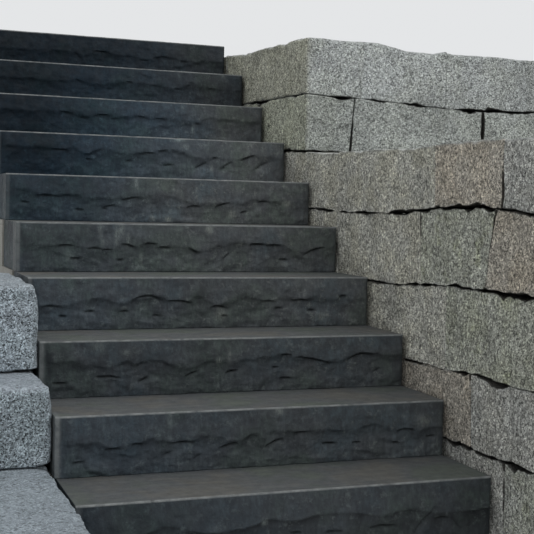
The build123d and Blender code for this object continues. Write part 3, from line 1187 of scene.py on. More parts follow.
    def bruises(self, points: Array) -> Array:
        """Return how strongly the riser is marked at each point."""
        along = (points[:, 0] - (self.low[0] + self.high[0]) / 2) / MM
        up = (points[:, 2] - self.low[2]) / MM
        rise = (self.high[2] - self.low[2]) / MM
        marked = np.zeros(len(points))
        for mark in self.riser.marks:
            over = (along - mark.place_mm) / mark.width_mm
            above = (up - mark.share * rise) / mark.height_mm
            marked = np.maximum(marked, mark.strength * falloff(np.hypot(over, above), 1.0))
        return marked

    def nosing_arris(self, dice: Random) -> Arris:
        """Choose the wear and the chips of the nosing."""
        half = (self.high[0] - self.low[0]) / 2
        chips = tuple(
            Chip(dice.uniform(-half, half), dice.uniform(6, 36) * MM, dice.uniform(0.1, 1.0) ** 2 * 5.5 * MM)
            for _ in range(self.NOSING_CHIPS))
        return Arris(Side.FRONT, Side.TOP, 1.0 * MM, chips, 0.45)

    def build(self, material: Material, slot: str) -> Piece:
        """Make the step.

        Args:
            material: Its finish.
            slot: The record's material slot, which is not used.

        Returns:
            The finished piece.
        """
        dice = Random(self.name)
        seed = dice.uniform(0.0, 50.0)
        low = self.low + np.array([-self.overhang, self.bulge, 0.0])
        block = Block(self.name + "_dressed", low, self.high, self.cells, (self.LEAD,) * 3)
        points = block.cut()
        on_riser = points[:, 1] < low[1] + 0.1 * MM
        radius = self.nosing * np.clip(1.0 + 0.5 * ripple(points, 0.05, seed + 20.0), 0.5, None)
        inset = np.repeat(radius[:, None], 3, axis=1)
        inset[:, 0] = self.END_ROUND
        points, normal = rounded(points, low, self.high, inset, inset)
        points = self.nosing_arris(dice).clip(points, low, self.high, seed + 23.0)
        rock = self.rock_face(points[on_riser], seed, dice)
        points[on_riser, 1] -= rock.pop("relief")
        on_tread = np.clip(normal[:, 2], 0.0, 1.0) ** 4
        points[:, 2] -= on_tread * MM * (0.4 + 0.4 * ripple(points, 0.06, seed + 30.0))
        block.place(points)

        block.paint("tread", np.clip(normal[:, 2], 0.0, 1.0) ** 2)
        rock["mark"] = self.bruises(points[on_riser])
        self.paint(block, points - low, self.high - points, on_riser, rock)
        # Painted shade, with some dust, at the back of the tread, where the next step rises over it.
        block.paint("inner", smooth_step(points[:, 1], low[1] + 0.235, low[1] + 0.285))
        block.merge_hidden((Side.BACK, Side.BOTTOM))
        return block.finish(material, slot, crease=34.0)

    def paint(self, block: Block, from_low: Array, from_high: Array, on_riser: Array,
              rock: dict[str, Array]) -> None:
        """Paint the layers that the finish reads.

        Args:
            block: The block.
            from_low: How far each of its points lies from its lowest corner, along each axis.
            from_high: The same from its highest corner.
            on_riser: Whether each point lies on the riser.
            rock: The layers that are painted on the riser alone, with a value for each of its points.
        """
        from_left = from_low[:, 0]
        share = from_low / (from_low + from_high)
        up = share[:, 2]
        beside = smooth_step(np.minimum(from_left, from_high[:, 0]), 4 * MM, 9 * MM)
        from_nosing = np.hypot(np.clip(from_low[:, 1], 0.0, None), from_high[:, 2])
        # The pale sawn colour of the left margin, carried 55 to 95 mm back along the left end: the sawn end's
        # own colour, and painted light on the front part of the end, which the light reaches.
        margin = 1.0 - smooth_step(from_left, self.margin, self.margin + 5 * MM)
        margin = margin * (1.0 - smooth_step(from_low[:, 1], 55 * MM, 95 * MM))
        block.paint("sawn", margin * self.margin_wear)
        block.paint("nosing", 1.0 - smooth_step(from_nosing, 3.0 * MM, 6.0 * MM))
        # How far up the riser each point lies, which the finish turns into painted light and shade.
        block.paint("height", np.clip(up, 0.0, 1.0))
        for layer, values in rock.items():
            everywhere = np.zeros(len(up))
            everywhere[on_riser] = values
            block.paint(layer, everywhere * beside)
        # Painted light and shade along the step, the blue cast of that shade, and painted shade towards the
        # foot.
        tone, shade_blue = self.weather.along(share[:, 0])
        # Painted shade towards the foot of the riser.
        damp = self.weather.shaded_foot * (1.0 - smooth_step(up, 0.30, 0.56))
        block.paint("tone", tone * (1.0 - damp))
        block.paint("shade_blue", shade_blue)


class Nodes:
    """A small kit for wiring a material's nodes."""

    def __init__(self, name: str) -> None:
        """Start an empty material with its shader and output."""
        self.material = bpy.data.materials.new(name)
        self.material.use_nodes = True
        self.tree = self.material.node_tree
        self.tree.nodes.clear()
        self.output = self.add("ShaderNodeOutputMaterial")
        self.shader = self.add("ShaderNodeBsdfPrincipled")
        self.link(self.shader.outputs["BSDF"], self.output.inputs["Surface"])
        self.place = self.add("ShaderNodeTexCoord").outputs["Object"]

    def add(self, kind: str, **settings: object) -> bpy.types.Node:
        """Add a node with its settings."""
        node = self.tree.nodes.new(kind)
        for key, value in settings.items():
            setattr(node, key, value)
        return node

    def link(self, source: Socket, target: Socket) -> None:
        """Link two sockets."""
        self.tree.links.new(source, target)

    def feed(self, socket: Socket, value: object) -> None:
        """Link a socket to another, or set it to a plain value."""
        if isinstance(value, Socket):
            self.link(value, socket)
        else:
            socket.default_value = value

    def layer(self, name: str, share: object = 1.0) -> Socket:
        """Read a value that was painted on the piece, or a share of it."""
        value = self.add("ShaderNodeAttribute", attribute_name=name).outputs["Fac"]
        return value if share == 1.0 else self.maths("MULTIPLY", value, share)

    def stretched(self, scale: Triple) -> Socket:
        """The place on the piece, stretched along its axes."""
        mapping = self.add("ShaderNodeMapping")
        mapping.inputs["Scale"].default_value = scale
        self.link(self.place, mapping.inputs["Vector"])
        return mapping.outputs["Vector"]

    def clouds(self, size: float, detail: float = 2.0, roughness: float = 0.5,
               place: Socket | None = None) -> Socket:
        """Noise whose bumps have about the given size."""
        texture = self.add("ShaderNodeTexNoise")
        self.link(place or self.place, texture.inputs["Vector"])
        texture.inputs["Scale"].default_value = 1.0 / size
        texture.inputs["Detail"].default_value = detail
        texture.inputs["Roughness"].default_value = roughness
        return texture.outputs["Fac"]

    def crystals(self, size: float, place: Socket | None = None) -> Socket:
        """One random value for each crystal of about the given size."""
        texture = self.add("ShaderNodeTexVoronoi")
        self.link(place or self.place, texture.inputs["Vector"])
        texture.inputs["Scale"].default_value = 1.0 / size
        split = self.add("ShaderNodeSeparateColor")
        self.link(texture.outputs["Color"], split.inputs["Color"])
        return split.outputs["Red"]

    def ramp(self, value: Socket, *stops: tuple[float, tuple[float, ...]],
             stepped: bool = False) -> Socket:
        """Turn a value into a colour by stops of (place, colour)."""
        node = self.add("ShaderNodeValToRGB")
        node.color_ramp.interpolation = "CONSTANT" if stepped else "LINEAR"
        elements = node.color_ramp.elements
        while len(elements) < len(stops):
            elements.new(0.5)
        for element, (place, colour) in zip(elements, stops):
            element.position = place
            element.color = (*colour, 1.0)
        self.link(value, node.inputs["Fac"])
        return node.outputs["Color"]

    def span(self, value: Socket, start: float, end: float, low: float = 0.0,
             high: float = 1.0) -> Socket:
        """Stretch a value from one range to another, and hold it at the ends."""
        node = self.add("ShaderNodeMapRange")
        self.link(value, node.inputs["Value"])
        for key, number in (("From Min", start), ("From Max", end), ("To Min", low), ("To Max", high)):
            node.inputs[key].default_value = number
        return node.outputs["Result"]

    def maths(self, operation: str, first: object, second: object) -> Socket:
        """Join two values by an operation."""
        node = self.add("ShaderNodeMath", operation=operation)
        self.feed(node.inputs[0], first)
        self.feed(node.inputs[1], second)
        return node.outputs["Value"]

    def mix(self, factor: object, first: object, second: object, blend: str = "MIX") -> Socket:
        """Mix two colours."""
        node = self.add("ShaderNodeMix", data_type="RGBA", blend_type=blend)
        self.feed(node.inputs["Factor"], factor)
        colours = [socket for socket in node.inputs if socket.type == "RGBA"]
        for socket, value in zip(colours, (first, second)):
            self.feed(socket, value if isinstance(value, Socket) else (*value, 1.0))
        return next(socket for socket in node.outputs if socket.type == "RGBA")

    def times(self, first: object, second: object) -> Socket:
        """Multiply two colours."""
        return self.mix(1.0, first, second, "MULTIPLY")

    def steps(self, value: Socket, *stops: tuple[float, float],
              smooth: bool = False) -> Socket:
        """Turn a value into a factor for a colour, by stops of (place, factor), where no factor is over 2."""
        scale = 2.0
        colours = ((place, (factor / scale,) * 3) for place, factor in stops)
        return self.times(self.ramp(value, *colours, stepped=not smooth), (scale,) * 3)

    def bump(self, height: Socket, strength: float, distance: float,
             under: Socket | None = None) -> Socket:
        """Turn a height into a normal, on top of another bump if there is one."""
        node = self.add("ShaderNodeBump")
        node.inputs["Strength"].default_value = strength
        node.inputs["Distance"].default_value = distance
        self.link(height, node.inputs["Height"])
        if under:
            self.link(under, node.inputs["Normal"])
        return node.outputs["Normal"]

    def finished(self, colour: object, roughness: object, specular: float,
                 normal: Socket | None = None) -> Material:
        """Feed the shader, and return the material."""
        self.feed(self.shader.inputs["Base Color"], colour)
        self.feed(self.shader.inputs["Roughness"], roughness)
        self.feed(self.shader.inputs["Specular IOR Level"], specular)
        if normal:
            self.link(normal, self.shader.inputs["Normal"])
        return self.material


def tint(red: int, green: int, blue: int) -> Triple:
    """Turn a colour as a screen shows it, 0 to 255, into the linear one that a shader takes."""
    shares = [value / 255 for value in (red, green, blue)]
    return tuple(share / 12.92 if share <= 0.04045 else ((share + 0.055) / 1.055) ** 2.4 for share in shares)


@dataclass(frozen=True)
class Granite:
    """Salt-and-pepper granite, weathered outdoors.

    Body is the colour that its crystals average to, and crown that of its worn arrises and top. Stain, streak
    and growth are what its patches, its streaks and its lichen are multiplied by, and flank what its left
    side is multiplied by, as painted light with a tint; stain_share, streaks and lichen are how strong these
    are. Fade is how much darker it gets with each metre to the right.
    """

    name: str
    body: Colour
    stain: Triple = (1.05, 1.0, 0.86)
    flank: Triple = (1.0, 1.0, 1.0)
    crown: Colour = (172, 175, 174)
    dirt: Colour = (34, 32, 29)
    streak: Triple = (0.62, 0.62, 0.56)
    growth: Triple = (0.95, 1.0, 0.62)
    stain_share: float = 0.7
    streaks: float = 0.25
    crystal: float = 3.3 * MM
    contrast: float = 1.0
    lichen: float = 0.0
    fade: float = 0.0

    def fresh(self, nodes: Nodes, grain: Socket, clots: Socket) -> Socket:
        """Wire the colour of the stone itself, from its crystals and the clots that they form."""
        shades = ((0.0, 0.26), (0.17, 0.80), (0.55, 1.15), (0.84, 1.75))
        stops = ((place, 1.0 + self.contrast * (shade - 1.0)) for place, shade in shades)
        speckle = nodes.steps(grain, *stops)
        colour = nodes.times(nodes.times(tint(*self.body), speckle), clots)
        clouds = nodes.clouds(0.20, 4.0, 0.62)
        return nodes.times(colour, nodes.steps(clouds, (0.32, 0.80), (0.50, 1.0), (0.68, 1.20), smooth=True))

    def weathered_and_flank_lit(self, nodes: Nodes, colour: Socket) -> Socket:
        """Stain a colour in patches and streaks, lighten its left side as painted light, and let it fade to
        the right.
        """
        patches = nodes.span(nodes.clouds(0.13, 3.0, 0.6), 0.44, 0.60, 0.0, self.stain_share)
        share = nodes.maths("MULTIPLY", patches, nodes.span(nodes.layer("tone"), 0.0, 1.0, 0.5, 1.0))
        colour = nodes.times(colour, nodes.mix(share, (1.0, 1.0, 1.0), self.stain))
        # Painted light: the left side is lightened and tinted by flank.
        colour = nodes.mix(nodes.layer("flank"), colour, nodes.times(colour, self.flank))
        clouds = nodes.clouds(0.010, 2.0, 0.6, nodes.stretched((1.0, 1.0, 0.6)))
        clumps = nodes.steps(clouds, (0.34, 0.62), (0.50, 1.0), (0.66, 1.40), smooth=True)
        colour = nodes.mix(nodes.layer("flank"), colour, nodes.times(colour, clumps))
        if self.fade:
            across = nodes.add("ShaderNodeSeparateXYZ")
            nodes.link(nodes.place, across.inputs["Vector"])
            left, right = 0.6, 1.9
            darkest = 1.0 - (right - left) * self.fade
            colour = nodes.times(colour, nodes.span(across.outputs["X"], left, right, 1.0, darkest))
        runs = nodes.clouds(0.040, 3.0, 0.6, nodes.stretched((1.0, 1.0, 0.14)))
        damp = nodes.span(runs, 0.48, 0.74, 0.0, self.streaks)
        colour = nodes.mix(damp, colour, nodes.times(colour, self.streak))
        if self.lichen:
            spots = nodes.span(nodes.clouds(0.09, 5.0, 0.7), 0.56, 0.66, 0.0, self.lichen)
            colour = nodes.mix(spots, colour, nodes.times(colour, self.growth))
        return colour

    def worn(self, nodes: Nodes, colour: Socket, clots: Socket) -> Socket:
        """Make a colour paler on the arrises and the top, and fill the joints with dirt."""
        pale = nodes.times(tint(*self.crown), clots)
        bare = nodes.layer("arris", nodes.span(nodes.clouds(0.03, 2.0), 0.4, 0.65, 0.1, 0.5))
        colour = nodes.mix(bare, colour, pale)
        top = nodes.layer("crown", nodes.span(nodes.clouds(0.05, 3.0), 0.25, 0.6, 0.30, 0.72))
        colour = nodes.mix(top, colour, pale)
        ragged = nodes.maths("ADD", nodes.layer("rim"), nodes.clouds(9 * MM, 3.0, 0.7))
        dirt = nodes.maths("MAXIMUM", nodes.layer("joint"), nodes.span(ragged, 1.26, 1.40))
        return nodes.mix(nodes.maths("MULTIPLY", dirt, 0.88), colour, tint(*self.dirt))

    def build(self) -> Material:
        """Wire the material."""
        nodes = Nodes(self.name)
        grain = nodes.crystals(self.crystal)
        clots = nodes.steps(nodes.crystals(self.crystal * 2.1), (0.0, 0.62), (0.15, 1.0), (0.78, 1.26))
        colour = self.weathered_and_flank_lit(nodes, self.fresh(nodes, grain, clots))
        rough = nodes.span(nodes.clouds(0.02, 2.0), 0.3, 0.7, 0.80, 0.97)
        pits = nodes.bump(nodes.clouds(8 * MM, 4.0, 0.7), 0.75, 4.5 * MM)
        normal = nodes.bump(grain, 0.3, 1.0 * MM, pits)
        return nodes.finished(self.worn(nodes, colour, clots), rough, 0.3, normal)


@dataclass(frozen=True)
class Basalt:
    """Dark basalt: rock-faced and bluish black on the risers, dusty on the treads, pale where it is worn, and
    with painted light and shade on the risers and at the backs of the treads.
    """

    name: str = "basalt"
    blue: Colour = (61, 68, 75)
    green: Colour = (64, 70, 70)
    grey: Colour = (67, 70, 75)
    black: Colour = (45, 46, 51)
    # The colour of the painted shadow under the ridges.
    hollow: Colour = (28, 29, 33)
    # The dark of the dusty treads, also used for the painted shade at the back of each tread.
    damp: Colour = (59, 64, 70)
    # The colour of the painted shadow in the cracks.
    crack: Colour = (16, 17, 19)
    tread: Colour = (94, 96, 96)
    brown: Colour = (101, 100, 95)
    olive: Colour = (94, 99, 92)
    worn: Colour = (127, 130, 130)
    bruise: Colour = (118, 121, 120)
    sawn: Colour = (105, 109, 110)
    # The colour cast where a riser is lit, and the blue cast of its painted shade.
    warm_cast: Triple = (1.01, 1.02, 0.92)
    shade_cast: Triple = (0.52, 1.03, 1.40)

    def rock(self, nodes: Nodes) -> Socket:
        """Wire the colour of the risers."""
        rock = nodes.ramp(nodes.clouds(0.17, 2.0, 0.5), (0.36, tint(*self.blue)), (0.50, tint(*self.grey)),
                          (0.62, tint(*self.green)))
        flutes = nodes.stretched((1.0, 1.0, 0.28))
        streak = nodes.span(nodes.clouds(0.011, 4.0, 0.7, flutes), 0.38, 0.62, 0.0, 0.60)
        rock = nodes.mix(streak, rock, tint(*self.black))
        mottle = nodes.span(nodes.clouds(0.05, 6.0, 0.75), 0.42, 0.62, 0.0, 0.66)
        rock = nodes.mix(mottle, rock, tint(*self.black))
        # Painted shadow under each ridge, in the hollow colour.
        rock = nodes.mix(nodes.layer("under", 0.38), rock, tint(*self.hollow))
        pale = nodes.span(nodes.clouds(0.026, 6.0, 0.80), 0.55, 0.70, 0.0, 0.45)
        rock = nodes.mix(pale, rock, tint(*self.sawn))
        # Painted light and shade by height: the lower half of each riser, which faces down, is lightened and
        # its upper part darkened.
        stops = ((0.0, 1.32), (0.42, 1.20), (0.60, 0.94), (1.0, 0.90))
        rock = nodes.times(rock, nodes.steps(nodes.layer("height"), *stops, smooth=True))
        broken = nodes.span(nodes.clouds(5 * MM, 4.0, 0.75, flutes), 0.38, 0.56, 0.10, 0.78)
        rock = nodes.mix(nodes.layer("mark", broken), rock, tint(*self.bruise))
        # Painted shadow in the cracks.
        rock = nodes.mix(nodes.layer("crack", 0.85), rock, tint(*self.crack))
        # Painted light and shade along each step, turning blue where it is painted as shade.
        cast = nodes.mix(nodes.layer("shade_blue"), self.warm_cast, self.shade_cast)
        return nodes.times(nodes.times(rock, nodes.layer("tone")), cast)

    def top(self, nodes: Nodes) -> Socket:
        """Wire the colour of the treads."""
        top = nodes.ramp(nodes.clouds(0.24, 3.0, 0.55), (0.38, tint(*self.brown)), (0.50, tint(*self.tread)),
                         (0.63, tint(*self.olive)))
        sweep = nodes.stretched((0.22, 1.0, 1.0))
        brushed = nodes.span(nodes.clouds(0.022, 3.0, 0.6, sweep), 0.34, 0.70, 0.0, 0.38)
        top = nodes.mix(brushed, top, tint(*self.damp))
        clouds = nodes.clouds(0.035, 4.0, 0.7)
        top = nodes.times(top, nodes.steps(clouds, (0.34, 0.86), (0.50, 1.0), (0.66, 1.12), smooth=True))
        grain = nodes.span(nodes.clouds(3.5 * MM, 3.0, 0.7), 0.35, 0.75, 0.0, 0.30)
        top = nodes.mix(grain, top, tint(*self.damp))
        # Painted shade, with some dust, at the back of the tread, in the damp colour.
        return nodes.mix(nodes.layer("inner", 0.45), top, tint(*self.damp))

    def build(self) -> Material:
        """Wire the material."""
        nodes = Nodes(self.name)
        colour = nodes.mix(nodes.layer("tread"), self.rock(nodes), self.top(nodes))
        margin = nodes.layer("sawn", nodes.span(nodes.clouds(0.02, 3.0), 0.3, 0.6, 0.5, 0.9))
        colour = nodes.mix(margin, colour, tint(*self.sawn))
        scuffs = nodes.layer("nosing", nodes.span(nodes.clouds(0.050, 6.0, 0.80), 0.34, 0.60, 0.30, 1.0))
        colour = nodes.mix(scuffs, colour, tint(*self.worn))
        rough = nodes.span(nodes.clouds(0.03, 3.0), 0.3, 0.7, 0.55, 0.82)
        coarse = nodes.bump(nodes.clouds(0.016, 5.0, 0.70), 0.85, 5.0 * MM)
        normal = nodes.bump(nodes.clouds(2.5 * MM, 2.0), 0.25, 0.5 * MM, coarse)
        return nodes.finished(colour, rough, 0.16, normal)


@dataclass(frozen=True)
class Concrete:
    """Poured concrete with the marks of its boards."""

    name: str = "concrete"
    body: Colour = (146, 145, 140)
    damp: Colour = (126, 125, 119)
    hole: Colour = (70, 69, 66)
    board: float = 0.12
    holes_per_metre: float = 28.0

    def build(self) -> Material:
        """Wire the material."""
        nodes = Nodes(self.name)
        colour = nodes.ramp(nodes.clouds(0.12, 6.0, 0.7), (0.30, tint(*self.damp)), (0.62, tint(*self.body)))
        holes = nodes.add("ShaderNodeTexVoronoi")
        nodes.link(nodes.place, holes.inputs["Vector"])
        holes.inputs["Scale"].default_value = self.holes_per_metre
        hole = nodes.span(holes.outputs["Distance"], 0.05, 0.12, 0.75, 0.0)
        colour = nodes.mix(hole, colour, tint(*self.hole))
        boards = nodes.add("ShaderNodeTexWave", bands_direction="Z", wave_profile="SAW")
        nodes.link(nodes.place, boards.inputs["Vector"])
        boards.inputs["Scale"].default_value = 0.314 / self.board
        boards.inputs["Distortion"].default_value = 0.4
        boards.inputs["Detail Scale"].default_value = 1.5
        seam = nodes.span(boards.outputs["Fac"], 0.0, 0.07, 0.85, 0.0)
        colour = nodes.mix(seam, colour, tint(*self.damp))
        rough = nodes.span(nodes.clouds(0.05, 3.0), 0.3, 0.7, 0.8, 0.95)
        ledges = nodes.bump(boards.outputs["Fac"], 0.4, 2.0 * MM)
        grain = nodes.bump(nodes.clouds(6 * MM, 4.0, 0.6), 0.4, 1.5 * MM, ledges)
        return nodes.finished(colour, rough, 0.5, nodes.bump(hole, -0.5, 2.0 * MM, grain))


@dataclass(frozen=True)
class PlainStage:
    """The pale colour of the floor."""

    name: str = "pale floor"
    colour: Colour = (226, 226, 224)

    def build(self) -> Material:
        """Wire the material."""
        return Nodes(self.name).finished((*tint(*self.colour), 1.0), 0.9, 0.1)


WARM_GREY = Granite("granite_warm_grey", (176, 176, 168), (1.03, 1.0, 0.90))
GREEN_GREY = Granite("granite_green_grey", (161, 163, 154), (0.99, 1.0, 0.90), lichen=0.4)
ROSE_GREY = Granite("granite_rose_grey", (166, 161, 151), (1.04, 0.99, 0.92))
BLUE_GREY = Granite("granite_blue_grey", (162, 163, 159), (1.02, 1.0, 0.96))
DEEP_GREY = Granite("granite_deep_grey", (149, 151, 146), (0.99, 1.0, 0.90), lichen=0.3)
# The tier's flank values lighten its left sides as painted light, the lower course's most, with a warm tint.
TIER_GREY = Granite("granite_tier", (160, 164, 163), (1.0, 1.0, 0.95), flank=(1.12, 1.07, 0.91), streaks=0.4,
                    fade=0.17)
TIER_LOW_GREY = Granite("granite_tier_low", (144, 148, 145), (1.0, 1.0, 0.95), flank=(1.45, 1.42, 1.22),
                        streaks=0.3)
CHEEK_LOW = Granite("granite_cheek_low", (134, 143, 149), (0.96, 1.0, 0.98), crown=(138, 147, 154),
                    crystal=3.0 * MM, contrast=1.16)
CHEEK_MIDDLE = Granite("granite_cheek_middle", (126, 135, 141), (0.96, 1.0, 0.98), crown=(152, 160, 168),
                       crystal=3.0 * MM, contrast=1.16)
CHEEK_HIGH = Granite("granite_cheek_high", (134, 143, 150), (0.96, 1.0, 0.98), crown=(146, 153, 158),
                     crystal=3.0 * MM, contrast=1.16)


def node_box(name: str) -> tuple[Array, Array]:
    """Return the lowest and the highest corner of a node."""
    low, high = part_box(name)
    return np.array(low), np.array(high)


def solids(node: Piece) -> list[tuple[Array, Array]]:
    """Find the solids of a node that holds several.

    Args:
        node: The node's object, which is left as it is.

    Returns:
        The lowest and the highest corner of each, from left to right.
    """
    copy = bpy.data.objects.new("measured copy", node.data.copy())
    bpy.context.scene.collection.objects.link(copy)
    activate(copy)
    bpy.ops.object.mode_set(mode="EDIT")
    bpy.ops.mesh.select_all(action="SELECT")
    bpy.ops.mesh.remove_doubles(threshold=0.01 * MM)
    bpy.ops.mesh.separate(type="LOOSE")
    bpy.ops.object.mode_set(mode="OBJECT")
    boxes = []
    for part in list(bpy.context.selected_objects):
        corners = np.array([vertex.co for vertex in part.data.vertices])
        boxes.append((corners.min(axis=0), corners.max(axis=0)))
        bpy.data.objects.remove(part)
    return sorted(boxes, key=lambda box: box[0][0])


def joined(pieces: list[Piece], name: str) -> Piece:
    """Join pieces into one.

    Args:
        pieces: What to join. The first keeps its settings.
        name: The name of the result.

    Returns:
        The joined piece.
    """
    activate(*pieces)
    bpy.ops.object.join()
    pieces[0].name = name
    return pieces[0]


@dataclass
class Flight:
    """The ten block steps.

    Some of them overhang a little on the left. Larger_cells holds the cells from the step of each number up,
    because the higher steps are further from the camera.
    """

    finish: Basalt = Basalt()
    worn_margins: dict[int, float] = field(default_factory=lambda: {2: 1.0, 3: 0.8, 4: 0.6, 5: 0.9})
    plain_margin: float = 0.35
    overhanging: tuple[int, ...] = (2, 3)
    overhang: float = 5 * MM
    larger_cells: dict[int, Triple] = field(default_factory=lambda: {
        4: (6.2 * MM, 30 * MM, 3.8 * MM), 7: (8.0 * MM, 36 * MM, 5.0 * MM)})

    def build(self) -> Iterator[Piece]:
        """Make the steps, from the lowest up."""
        material = self.finish.build()
        cells = BasaltStep.cells
        for number, (riser, weather) in enumerate(zip(RISERS, RISER_SHADING), start=1):
            cells = self.larger_cells.get(number, cells)
            node = f"step_{number:02d}"
            step = BasaltStep(
                node, *node_box(node), riser, weather=weather, cells=cells,
                margin_wear=self.worn_margins.get(number, self.plain_margin),
                overhang=self.overhang if number in self.overhanging else 0.0)
            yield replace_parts(step.build(material, "basalt"), node)


@dataclass
class Masonry:
    """What the walls share: their materials, made once each."""

    materials: dict[str, Material] = field(default_factory=dict)

    def finish(self, granite: Granite) -> Material:
        """Return the material of a granite."""
        if granite.name not in self.materials:
            self.materials[granite.name] = granite.build()
        return self.materials[granite.name]


@dataclass
class RightWall(Masonry):
    """The wall on the right of the flight: five courses, and the stones behind and under the return."""

    seams: tuple[Seam | None, ...] = (
        None,
        Seam(0.222, Run(((-600, 0), (-191, 1), (-118, 3), (-41, -3), (94, -1), (152, 2), (260, -2),
                         (400, 0)),
                        (Opening(-175, -50, 12), Opening(15, 125, 6), Opening(150, 265, 9)))),
        Seam(0.441, Run(((-600, 0), (-196, 2), (26, 2), (166, 5), (318, -8), (416, -3), (561, -10),
                         (800, -8)),
                        (Opening(-45, 40, 9), Opening(0, 115, 5), Opening(170, 230, 6),
                         Opening(435, 565, 4)))),
        Seam(0.695, Run(((-600, 0), (-180, 1), (-11, 6), (153, 2), (242, 7), (399, -2), (718, -22),
                         (838, -20)),
                        (Opening(-155, 5, 14), Opening(5, 100, 6), Opening(210, 280, 8),
                         Opening(395, 565, 4), Opening(755, 845, 6)))),
        Seam(0.932, Run(((-600, 0), (-165, -4), (4, 7), (169, 15), (415, 6), (734, -14), (1069, -15),
                         (1410, -3)),
                        (Opening(-600, -110, 8), Opening(-95, 90, 5), Opening(75, 390, 9),
                         Opening(380, 720, 8), Opening(895, 965, 8), Opening(1230, 1420, 5)))),
        Seam(1.143, Run(((-600, -3), (-152, -5), (182, 3), (363, 0), (564, -5), (1039, 4), (1300, 6),
                         (1425, 15), (1703, 28), (2890, 20)),
                        (Opening(1490, 1830, 9),)), tight_gap=0.6 * MM),
    )
    perpends: tuple[tuple[Perpend, ...], ...] = (
        (Perpend(-4 * MM, 4 * MM, 3 * MM, 4 * MM), Perpend()),
        (Perpend(-6 * MM, 6 * MM, 2 * MM, 4 * MM), Perpend()),
        (Perpend(broken=2 * MM), Perpend(-5 * MM, 5 * MM, 1 * MM, 2 * MM), Perpend()),
        (Perpend(32 * MM, -19 * MM, 0.0, 7 * MM, broken=1.5 * MM, closing=3.8 * MM),
         Perpend(-6 * MM, 8 * MM, 0.0, 5 * MM, broken=1.5 * MM), Perpend()),
        (Perpend(-1 * MM, 1 * MM, 7 * MM, 0.0, broken=1.5 * MM, closing=3.8 * MM),
         Perpend(-3 * MM, 8 * MM, broken=1.5 * MM, closing=3.9 * MM), Perpend()),
    )
    granites: tuple[tuple[Granite, ...], ...] = (
        (DEEP_GREY, BLUE_GREY),
        (BLUE_GREY, ROSE_GREY),
        (WARM_GREY, GREEN_GREY, WARM_GREY),
        (ROSE_GREY, GREEN_GREY, WARM_GREY),
        (BLUE_GREY, ROSE_GREY, WARM_GREY),
    )

    def build_course(self, course: int) -> Iterator[Piece]:
        """Make the stones of a course that show from the flight."""
        perpends = self.perpends[course - 1]
        for number, granite in enumerate(self.granites[course - 1], start=1):
            node = f"wall_course_{course}_stone_{number}"
            low, high = node_box(node)
            sides = [Side.LEFT, Side.RIGHT]
            if number == 1:
                sides.append(Side.FRONT)
            if course == len(self.granites):
                sides.append(Side.TOP)
            stone = SplitStone(
                node + "_split", low, high, tuple(sides),
                below=self.seams[course - 1], above=self.seams[course],
                start=perpends[number - 2] if number > 1 else None, end=perpends[number - 1],
                tone=Random(node).uniform(0.2, 1.0))
            piece = stone.build(self.finish(granite), "wall_granite")
            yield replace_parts(piece, node)

    def build_rear(self, course: int, node: Piece) -> Piece:
        """Make the stones of a course beside the bed of the flight and under the return."""
        rear, inner, outer = solids(node)
        middle = Perpend()
        shared = {"below": self.seams[course - 1], "above": self.seams[course], "cell": 26 * MM,
                  "depth_cell": 55 * MM}
        name = f"wall_course_{course}_rear"
        stones = (
            SplitStone(name + "_flight", *rear, (Side.LEFT, Side.RIGHT, Side.BACK),
                       start=self.perpends[course - 1][-1], **shared),
            SplitStone(name + "_inner", *inner, (Side.FRONT, Side.BACK), along=0, end=middle, **shared),
            SplitStone(name + "_outer", *outer, (Side.FRONT, Side.BACK, Side.RIGHT), along=0, start=middle,
                       **shared),
        )
        material = self.finish(WARM_GREY)
        pieces = [stone.build(material, "wall_granite") for stone in stones]
        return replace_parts(joined(pieces, name + "_split"), node.name)

    def build(self, frame: dict) -> Iterator[Piece]:
        """Make the wall, course by course."""
        for course in range(1, len(self.granites) + 1):
            yield from self.build_course(course)
            yield self.build_rear(course, frame["nodes"][f"wall_course_{course}_rear_stones"])


